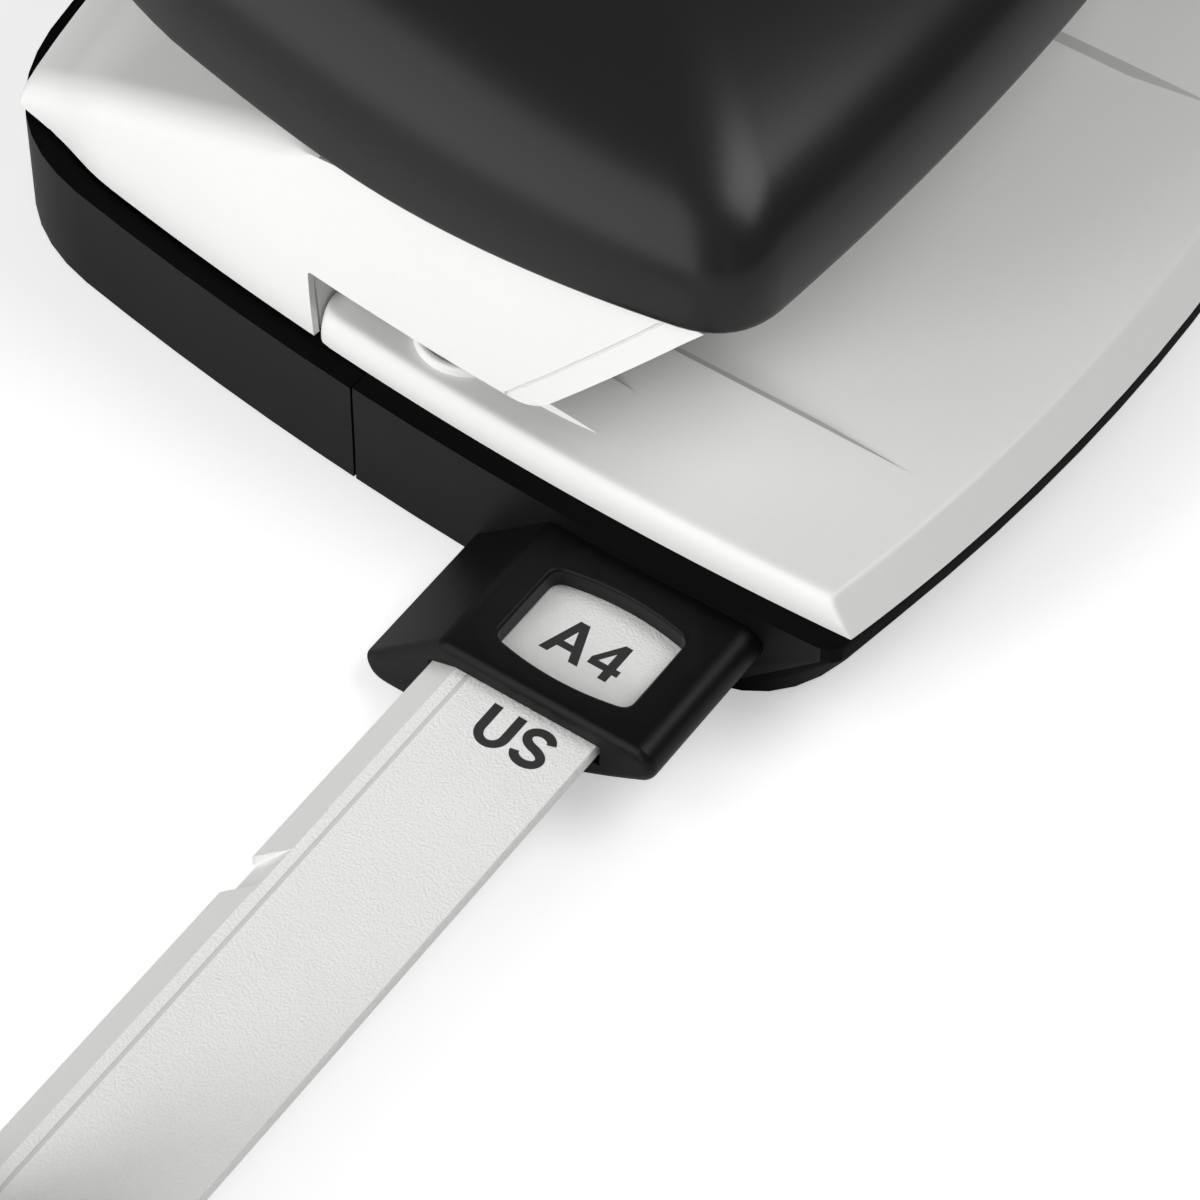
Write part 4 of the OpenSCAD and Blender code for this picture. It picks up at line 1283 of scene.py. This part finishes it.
@dataclass
class WindowBlock:
    """The soft black housing on the base's side that the bar runs through."""

    in_x: float = -46.5
    out_x: float = -69.8
    top: float = 12.6
    low: float = 1.0
    toe_y: float = -11.5
    brow_y: float = -20.75
    belly_y: float = -30.0
    nose_y: float = -45.3
    toe_r: float = 2.9
    brow_r: float = 0.75
    chin: float = 8.9
    edge_r: float = 2.4
    end_r: float = 1.1
    root_r: float = 1.2
    root_x: float = -50.2
    window: Pair = (-60.75, -32.15)
    window_w: float = 12.0
    window_l: float = 15.5
    bow: float = 1.0
    corner: float = 1.1
    rim: float = 0.4

    ROOF = (-38.0, -34.0, -30.0, -26.0)
    ROOT = (-50.25, -50.4, -50.65, -50.95, -51.2)
    LONG = (-57.0, -62.0, -66.0)

    def _section(self) -> Outline:
        """Lays out the block's outline, seen along the bar.

        Returns:
            Places and heights round it.
        """
        low, top = self.low, self.top
        toe = low + self.toe_r
        out = [bezier((self.toe_y, toe), (self.toe_y, low), (self.toe_y - 2.8, low), i / 8)
               for i in range(9)]
        turn = [math.radians(238 - 9.25 * i) for i in range(17)]
        nose = [(self.nose_y + self.edge_r * (1 + math.cos(a)),
                 top - self.edge_r * (1 - math.sin(a))) for a in turn]
        chin = (nose[0][0] - self.chin * math.sin(turn[0]),
                nose[0][1] + self.chin * math.cos(turn[0]))
        out += [bezier((self.belly_y, low), chin, nose[0], i / 10) for i in range(10)] + nose
        out += [(y, top) for y in self.ROOF]
        run, fall = self.toe_y - self.brow_y, toe - top
        bend = self.brow_r / math.hypot(run, fall)
        out += [bezier((self.brow_y - self.brow_r, top), (self.brow_y, top),
                       (self.brow_y + run * bend, top + fall * bend), i / 6) for i in range(7)]
        return out + [(self.brow_y + run * t, top + fall * t) for t in (0.25, 0.45, 0.65, 0.85)]

    def _inset(self, depth: float) -> Outline:
        """Draws the outline in.

        Args:
            depth: How far it is drawn in.

        Returns:
            Places and heights round it.
        """
        ring = self._section()
        n, out = len(ring), []
        for i, (y, z) in enumerate(ring):
            (ya, za), (yb, zb) = ring[i - 2], ring[(i + 2) % n]
            run = math.hypot(yb - ya, zb - za)
            out.append((y + depth * (zb - za) / run, z - depth * (yb - ya) / run))
        return out

    def _window(self, grow: float) -> Outline:
        """Lays out the window.

        Args:
            grow: How far it is grown all round.

        Returns:
            Places round it, from the window's middle.
        """
        half, width = self.window_l / 2 + grow, self.window_w / 2 + grow
        c, r = half - self.corner, self.corner

        def edge(y: float) -> float:
            """Returns the half width at a place along the window."""
            return width - self.bow * (y / half) ** 2

        end = edge(half)
        side = [bezier((end - r, -half), (end, -half), (edge(c), -c), i / 6) for i in range(7)]
        side += [(edge(y), y) for y in (c * (i / 7 - 1) for i in range(1, 14))]
        side += [bezier((edge(c), c), (end, half), (end - r, half), i / 6) for i in range(7)]
        return side + [(-x, -y) for x, y in side]

    def _window_tool(self) -> Obj:
        """Builds the form that cuts the window with a rounded rim.

        Returns:
            The closed form.
        """
        low, high = 9.0, self.top + 0.5
        steps = [(0.0, low), (0.0, self.top - self.rim)]
        for a in (15, 30, 45, 60, 75, 88):
            t = math.radians(a)
            steps.append((self.rim * (1 - math.cos(t)), self.top - self.rim * (1 - math.sin(t))))
        steps.append((self.rim * 1.05, high))
        x0, y0 = self.window
        rings = [[(x0 + x, y0 + y, z) for x, y in self._window(g)] for g, z in steps]
        return Bench.loft("window_tool", rings, ((x0, y0, low), (x0, y0, high)))

    def _root(self, x: float) -> Ring:
        """Lays out a ring of the block, with its front corner rounded at the base.

        Args:
            x: Place along the bar.

        Returns:
            The ring's points.
        """
        far = min(self.root_r, max(0.0, x - self.root_x + self.root_r))
        back = self.root_r - math.sqrt(self.root_r ** 2 - far ** 2)
        near, far_y = self.nose_y + 0.5, self.nose_y + 9.0
        return [(x, y + back * (1 - blend(near, far_y, y)), z) for y, z in self._section()]

    def build(self, channel: Sequence[Pair]) -> None:
        """Builds the block and dresses it.

        Args:
            channel: Section of the bar's channel as places and heights.
        """
        places = (self.in_x, self.root_x, *self.ROOT, self.root_x - self.root_r, *self.LONG)
        rings = [self._root(x) for x in places]
        for a in (0, 18, 36, 54, 72, 90):
            t = math.radians(a)
            x = self.out_x + self.end_r * (1 - math.sin(t))
            rings.append([(x, y, z) for y, z in self._inset(self.end_r * (1 - math.cos(t)))])
        ends = ((self.in_x, self.belly_y, 7.0), (self.out_x, self.belly_y, 7.0))
        obj = Bench.loft("window_block", rings, ends)
        bore = [[(x, y, z) for y, z in channel] for x in (self.in_x + 29, self.out_x - 5)]
        tool = Bench.loft("channel_tool", bore, middles(bore))
        Bench.cut(obj, (tool, self._window_tool()))
        Bench.smooth(obj, 32.0)
        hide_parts("window_housing")
        dress(obj, Finishes.HOUSING, "frame")


class Glyphs:
    """Outlines of the letters in the marks, one unit high."""

    BOLD = 0.215

    @staticmethod
    def of(letter: str) -> Letter:
        """Returns a letter's closed loops and its width."""
        return {"A": Glyphs._a, "4": Glyphs._four, "U": Glyphs._u, "S": Glyphs._s}[letter]()

    @staticmethod
    def _a() -> Letter:
        """Returns the letter A."""
        outer = [(0.0, 0.0), (0.36, 1.0), (0.59, 1.0), (0.95, 0.0), (0.73, 0.0), (0.65, 0.23),
                 (0.295, 0.23), (0.215, 0.0)]
        return [outer, [(0.352, 0.395), (0.593, 0.395), (0.473, 0.755)]], 0.95

    @staticmethod
    def _four() -> Letter:
        """Returns the figure 4."""
        outer = [(0.4, 0.0), (0.6, 0.0), (0.6, 0.22), (0.72, 0.22), (0.72, 0.385), (0.6, 0.385),
                 (0.6, 1.0), (0.425, 1.0), (0.0, 0.4), (0.0, 0.22), (0.4, 0.22)]
        return [outer, [(0.4, 0.385), (0.4, 0.72), (0.165, 0.385)]], 0.72

    @staticmethod
    def _u() -> Letter:
        """Draws the letter U.

        Returns:
            Its loops and its width.
        """
        wide, low = 0.8, 0.37
        outer = [(wide / 2 * (1 + math.cos(a)), low + (low + 0.015) * math.sin(a))
                 for a in (math.pi * (1 + i / 16) for i in range(17))]
        half, deep = wide / 2 - Glyphs.BOLD, low - 0.17
        inner = [(wide / 2 + half * math.cos(a), low + deep * math.sin(a))
                 for a in (math.pi * (2 - i / 16) for i in range(17))]
        tops = [(wide, 1.0), (wide - Glyphs.BOLD, 1.0)]
        return [[(0.0, 1.0)] + outer + tops + inner + [(Glyphs.BOLD, 1.0)]], wide

    @staticmethod
    def _s() -> Letter:
        """Draws the letter S as a broad line along two bowls.

        Returns:
            Its loops and its width.
        """
        mid, half = 0.395, 0.1
        path = [(mid + 0.265 * math.cos(a), 0.725 + 0.2 * math.sin(a))
                for a in (math.radians(8 + 226 * i / 18) for i in range(19))]
        path += [(mid - 0.085, 0.53), (mid + 0.075, 0.487)]
        path += [(mid + 0.29 * math.cos(a), 0.285 + 0.2 * math.sin(a))
                 for a in (math.radians(54 - 232 * i / 18) for i in range(19))]
        left, right = [], []
        for k, (u, v) in enumerate(path):
            (ua, va), (ub, vb) = path[max(0, k - 1)], path[min(len(path) - 1, k + 1)]
            run = math.hypot(ub - ua, vb - va)
            du, dv = half * (vb - va) / run, -half * (ub - ua) / run
            left.append((u + du, v + dv))
            right.append((u - du, v - dv))
        return [left + right[::-1]], 0.79


@dataclass
class GuideRail:
    """The pull-out bar with its notch and its printed marks."""

    out_x: float = -148.5
    in_x: float = -31.5
    top_z: float = 10.0
    low_z: float = 7.8
    front_y: float = -38.95
    foot_in: float = 0.5
    groove_d: float = 0.45
    groove_top: float = 0.13
    groove_low: float = 0.5
    lip: float = 0.15
    lip_z: float = 8.45
    crease_y: float = -22.7
    back_y: float = -19.75
    edge_z: float = 9.0
    score_y: float = -24.1
    score_w: float = 0.47
    score_d: float = 0.05
    play: float = 0.3
    slack: float = 0.1
    room_y: float = -38.0
    room_x: Pair = (-50.5, 45.5)
    stop_r: float = 0.5
    notch_x: float = -98.0
    notch_l: float = 4.9
    notch_in: float = 0.43
    notch_lean: float = 0.78
    mark_h: float = 4.75
    print_t: float = 0.02
    mark_gap: float = 0.09

    FIELD = (-35.0, -31.0, -27.0)
    MARKS = (("A4", -60.5, -31.6), ("US", -73.3, -32.1))

    def _section(self) -> Outline:
        """Lays out the bar's section.

        Returns:
            Places and heights round it.
        """
        top, half, front = self.top_z, self.score_w / 2, self.front_y
        inner = front + self.groove_d
        edge = [(front + self.foot_in, self.low_z), (front + self.foot_in, self.lip_z - 0.1),
                (front, self.lip_z), (front, top - self.groove_low),
                (inner, top - self.groove_low + 0.02), (inner, top - self.groove_top - 0.02),
                (front, top - self.groove_top), (front + 0.08, top)]
        field = [(y, top) for y in self.FIELD]
        floor, wall = top - self.score_d, half - 0.04
        score = [(self.score_y - half, top), (self.score_y - wall, floor),
                 (self.score_y + wall, floor), (self.score_y + half, top)]
        back = [(self.crease_y - 0.06, top), (self.crease_y + 0.06, top - 0.02),
                (self.back_y - 0.1, self.edge_z + 0.03), (self.back_y, self.edge_z - 0.08),
                (self.back_y, self.low_z + 0.1), (self.back_y - 0.1, self.low_z)]
        return edge + field + score + back

    def channel(self) -> Outline:
        """Lays out the channel that the bar runs in with play.

        Returns:
            Places and heights round it.
        """
        g = self.play
        front = self.front_y - self.lip - g
        slope = (self.top_z - self.edge_z) / (self.back_y - self.crease_y)
        rise = g * math.hypot(1, slope)
        return [(front, self.low_z - g), (self.back_y + g, self.low_z - g),
                (self.back_y + g, self.edge_z + rise - g * slope),
                (self.crease_y + (rise - g) / slope, self.top_z + g), (front, self.top_z + g)]

    def room_tool(self) -> Obj:
        """Builds a block that clears the back of the bar's run inside the base.

        Returns:
            The closed form.
        """
        g, slack, front = self.play, self.slack, self.room_y
        low, high, back = self.low_z - g + slack, self.top_z + g - slack, self.back_y + g
        section = [(front, low), (back, low), (back, self.edge_z + g), (self.crease_y + g, high),
                   (front, high)]
        rings = [[(x, y, z) for y, z in section] for x in self.room_x]
        return Bench.loft("room_tool", rings, tuple((x, -30.0, 9.0) for x in self.room_x))

    def _notch_tool(self) -> Obj:
        """Builds the leaning wedge that cuts the notch from the crease down to the bar's foot.

        Returns:
            The closed form.
        """
        slope = (self.low_z - self.top_z) / (self.back_y - self.notch_in - self.crease_y)
        out = self.back_y + 1.2
        section = [(self.crease_y, self.top_z), (out, self.top_z + slope * (out - self.crease_y)),
                   (out, self.top_z + 2), (self.crease_y, self.top_z + 2)]
        rings = [[(x + self.notch_lean * (self.back_y - y), y, z) for y, z in section]
                 for x in (self.notch_x - self.notch_l, self.notch_x)]
        return Bench.loft("notch_tool", rings, middles(rings))

    def _bar(self) -> None:
        """Builds the bar and gives its bevel and score line smoother skins than its top, both
        darkened with painted shade.
        """
        places = [self.out_x + (self.in_x - self.out_x) * i / 10 for i in range(11)]
        obj = Bench.loft("grained_bar", [[(x, y, z) for y, z in self._section()] for x in places])
        Bench.cap(obj)
        Bench.cut(obj, (self._notch_tool(),))
        Bench.smooth(obj, 8.0, flat=False)
        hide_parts("guide_bar")
        dress(obj, Finishes.BAR, "guide")
        # The bevel and the score line get darker greys: painted shade on the slope and in the
        # groove.
        skin(obj, (Finishes.BAR_EDGE_SHADE, Finishes.BAR_SCORE_SHADE), self._which)

    def _which(self, face: bpy.types.MeshPolygon) -> int:
        """Chooses the finish of one of the bar's faces.

        Args:
            face: The face.

        Returns:
            1 for the bevel's smoother skin with painted shade, 2 for the score line's painted
            shade and 0 for the rest.
        """
        if face.center.y > self.crease_y * MM and face.normal.z > 0.05:
            return 1
        near = abs(face.center.y - self.score_y * MM) < self.score_w / 2 * MM
        return 2 if near and face.normal.z > -0.05 else 0

    def build(self) -> None:
        """Builds the bar, its end stop, the housing and the marks and dresses them."""
        self._bar()
        dress(Bench.copy_of("bar_end_stop", "paper_stop", self.stop_r), Finishes.BASE, "guide")
        WindowBlock().build(self.channel())
        for word, x, y in self.MARKS:
            self._mark(word, x, y)

    def _mark(self, word: str, x: float, y: float) -> None:
        """Prints one paper-size mark on the bar.

        Args:
            word: The mark.
            x: Middle of the mark along the bar.
            y: Middle of the mark across the bar.
        """
        Bench.clear()
        bpy.ops.curve.primitive_bezier_circle_add()
        pen = bpy.context.object
        pen.data.dimensions, pen.data.fill_mode = "2D", "BOTH"
        pen.data.splines.clear()
        start = 0.0
        for letter in word:
            loops, width = Glyphs.of(letter)
            for loop in loops:
                line = pen.data.splines.new("POLY")
                line.points.add(len(loop) - 1)
                line.use_cyclic_u = True
                for point, (u, v) in zip(line.points, loop):
                    point.co = (start + u, v, 0.0, 1.0)
            start += width + self.mark_gap
        bpy.ops.object.convert(target="MESH")
        obj = bpy.context.object
        obj.name = obj.data.name = "mark_" + word.lower()
        mid, high = (start - self.mark_gap) / 2, self.top_z + self.print_t
        with Bench.editing(obj):
            Bench.reshape(obj, lambda co: (x + (co.y - 0.5) * self.mark_h,
                                           y - (co.x - mid) * self.mark_h, high))
            bpy.ops.mesh.select_all(action="SELECT")
            bpy.ops.mesh.remove_doubles(threshold=1e-7)
            Bench.face_out(obj)
        Bench.thicken(obj, self.print_t * 0.9, Vector((0, 0, 1)))
        dress(obj, Finishes.INK, "guide")


@dataclass
class Base:
    """The black base, its chip drawer and its feet."""

    rail: GuideRail
    edge: float = 0.45
    pad_edge: float = 0.25
    # Tilts past which faces look up, down or forward and get the duller finish, partly painted
    # shade.
    dull_shade_up: float = 0.5
    dull_shade: float = 0.3

    def _finish(self, obj: Obj, body: str) -> None:
        """Dresses a moulding, with a duller, nearly unreflective skin on its ledges, front and
        underside, partly a rougher texture and partly painted shade.

        Args:
            obj: The moulding.
            body: The body that it rides.
        """
        def dull_shade(face: bpy.types.MeshPolygon) -> int:
            """Returns 1 for a face with the duller finish, partly painted shade, and 0 for
            another.
            """
            _, y, z = face.normal
            return int(z > self.dull_shade_up or z < -self.dull_shade or y < -self.dull_shade)

        dress(obj, Finishes.BASE, body)
        skin(obj, (Finishes.BASE_DULL_SHADE,), dull_shade)

    def build(self) -> None:
        """Builds the mouldings and dresses them."""
        moulding = Bench.copy_of("base_front", "base_moulding", self.edge)
        Bench.cut(moulding, (self.rail.room_tool(),))
        Bench.smooth(moulding, 35.0)
        self._finish(moulding, "frame")
        self._finish(Bench.copy_of("chip_drawer", "drawer_moulding", self.edge), "drawer")
        for node, body in (("base_feet", "frame"), ("drawer_feet", "drawer")):
            dress(Bench.copy_of(node, node + "_pads", self.pad_edge), Finishes.RUBBER, body)
        dress_node("base_screws", Finishes.DARK)


@dataclass
class PunchWorks:
    """The steel mechanism between the jaw and the handle."""

    edge: float = 0.2
    spring_foot: float = 28.0
    spring_top: float = 39.6
    pin_travel: float = 6.8

    def _spring(self, side: str) -> None:
        """Makes one pin's spring, with a mesh of its own.

        Args:
            side: Side of the pin, left or right.
        """
        obj = Bench.copy_of("pin_spring_" + side, "spring_coil_" + side, 0.0)
        Bench.smooth(obj, 75.0, flat=False)
        dress(obj, Finishes.WIRE, "frame")
        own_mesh(obj)

    def build(self) -> None:
        """Rounds the mechanism's edges and dresses its pieces."""
        steel = (("punch_carrier", "frame"), ("roof_posts", "frame"), ("pivot_pin", "frame"),
                 ("lever_plate", "handle"), ("press_bar", "handle"))
        for node, body in steel:
            dress(Bench.copy_of(node, node + "_finished", self.edge), Finishes.STEEL, body)
        plain = [("pivot_clips", Finishes.DARK), ("lever_screws", Finishes.DARK),
                 ("post_rivets", Finishes.STEEL), ("detent_spring", Finishes.WIRE),
                 ("lever_posts", Finishes.HANDLE)]
        for side in ("left", "right"):
            self._spring(side)
            plain += [("die_" + side, Finishes.GROUND), ("guide_bush_" + side, Finishes.BRASS),
                      ("punch_pin_" + side, Finishes.GROUND), ("pin_clip_" + side, Finishes.DARK)]
        for node, finish in plain:
            dress_node(node, finish)


@dataclass
class Studio:
    """Camera, floor and lights."""

    azimuth: float = -55.8
    elevation: float = 50.9
    roll: float = 0.8
    focal_px: float = 5000.0
    frame_px: float = 1200.0
    anchor: Point = (-47.6, -50.0, 18.0)
    anchor_px: Pair = (827.0, 597.0)
    depth: float = 471.7
    glow: Pair = (0.45, 1.0)
    glow_r: Pair = (0.25, 0.7)
    sky: Pair = (0.15, 1.0)

    def camera(self) -> None:
        """Places the camera at the photograph's angle."""
        a, e, t = (math.radians(v) for v in (self.azimuth, self.elevation, self.roll))
        back = Vector((math.sin(a) * math.cos(e), -math.cos(a) * math.cos(e), math.sin(e)))
        flat = Vector((math.cos(a), math.sin(a), 0.0))
        rise = back.cross(flat)
        right = flat * math.cos(t) + rise * math.sin(t)
        up = rise * math.cos(t) - flat * math.sin(t)
        dx, dy = (v - self.frame_px / 2 for v in self.anchor_px)
        step = self.depth / self.focal_px
        place = Vector(self.anchor) + back * self.depth - right * (dx * step) + up * (dy * step)
        data = bpy.data.cameras.new("camera")
        data.sensor_width = 36.0
        data.lens = self.focal_px / self.frame_px * data.sensor_width
        data.clip_start, data.clip_end = 0.01, 20.0
        cam = bpy.data.objects.new("camera", data)
        bpy.context.scene.collection.objects.link(cam)
        turn = Matrix((right, up, back)).transposed().to_4x4()
        cam.matrix_world = Matrix.Translation(place * MM) @ turn
        bpy.context.scene.camera = cam

    def floor(self) -> None:
        """Lays a pale floor that looks white to the camera and keeps the shadow."""
        obj = Bench.start("floor", bpy.ops.mesh.primitive_plane_add, size=6)
        mat = bpy.data.materials.new("pale_floor")
        mat.use_nodes = True
        tree = mat.node_tree
        join = tree.links.new
        shader = tree.nodes["Principled BSDF"]
        shader.inputs["Base Color"].default_value = (0.8, 0.8, 0.8, 1)
        shader.inputs["Roughness"].default_value = 0.9
        glow, both = add_node(tree, "Emission"), add_node(tree, "AddShader")
        path, place = add_node(tree, "LightPath"), add_node(tree, "TexCoord")
        gain, away = add_node(tree, "Math"), add_node(tree, "VectorMath")
        gain.operation, away.operation = "MULTIPLY", "LENGTH"
        fade = add_node(tree, "MapRange", From_Min=self.glow_r[0], From_Max=self.glow_r[1],
                        To_Min=self.glow[0], To_Max=self.glow[1])
        fade.interpolation_type = "SMOOTHSTEP"
        join(place.outputs["Object"], away.inputs[0])
        join(away.outputs["Value"], fade.inputs["Value"])
        join(fade.outputs["Result"], gain.inputs[1])
        join(path.outputs["Is Camera Ray"], gain.inputs[0])
        join(gain.outputs[0], glow.inputs["Strength"])
        join(shader.outputs[0], both.inputs[0])
        join(glow.outputs[0], both.inputs[1])
        join(both.outputs[0], tree.nodes["Material Output"].inputs["Surface"])
        obj.data.materials.append(mat)

    def lights(self) -> None:
        """Hangs the softboxes and sets the world."""
        self._box("left_softbox", (-1.3, 0.42, 1.3), (0.0, 0.0, 1.3), (1.9, 2.6), 28.0)
        key = self._box("low_key", (-1.25, 0.45, 0.46), (0.0, 0.0, 0.03), (0.4, 0.4), 6.3)
        key.visible_glossy = False
        self._box("top_softbox", (0.4, -0.8, 1.4), (0.03, 0.0, 0.03), (0.9, 0.9), 11.0)
        self._box("corner_strip", (-0.86, -1.1, 0.9), (0.0, 0.0, 0.9), (0.06, 1.8), 0.36)
        world = bpy.data.worlds.new("studio")
        bpy.context.scene.world = world
        world.use_nodes = True
        tree = world.node_tree
        sky = tree.nodes["Background"]
        sky.inputs["Color"].default_value = (1, 1, 1, 1)
        path = add_node(tree, "LightPath")
        span = add_node(tree, "MapRange", To_Min=self.sky[0], To_Max=self.sky[1])
        tree.links.new(path.outputs["Is Camera Ray"], span.inputs["Value"])
        tree.links.new(span.outputs["Result"], sky.inputs["Strength"])
        bpy.context.scene.view_settings.view_transform = "Standard"

    @staticmethod
    def _box(name: str, place: Point, aim: Point, size: Pair, power: float) -> Obj:
        """Hangs one softbox.

        Args:
            name: Name of the light.
            place: Where it hangs, in metres.
            aim: The point that it looks at.
            size: Its width and height.
            power: Its power in watts.

        Returns:
            The light's object.
        """
        data = bpy.data.lights.new(name, "AREA")
        data.shape = "RECTANGLE"
        data.energy, data.size, data.size_y = power, size[0], size[1]
        lamp = bpy.data.objects.new(name, data)
        bpy.context.scene.collection.objects.link(lamp)
        lamp.location = place
        lamp.rotation_euler = (Vector(aim) - Vector(place)).to_track_quat("-Z", "Y").to_euler()
        return lamp


def main() -> None:
    """Builds the stage and every sub-assembly."""
    logging.basicConfig(level=logging.INFO, format="%(message)s")
    studio = Studio()
    studio.camera()
    studio.floor()
    studio.lights()
    plan = BodyPlan()
    rail = GuideRail()
    for assembly in (HandleCap(), Deck(plan), UpperBody(plan), rail, Base(rail), PunchWorks()):
        assembly.build()
    Bench.clear()


if __name__ == "__main__":
    main()
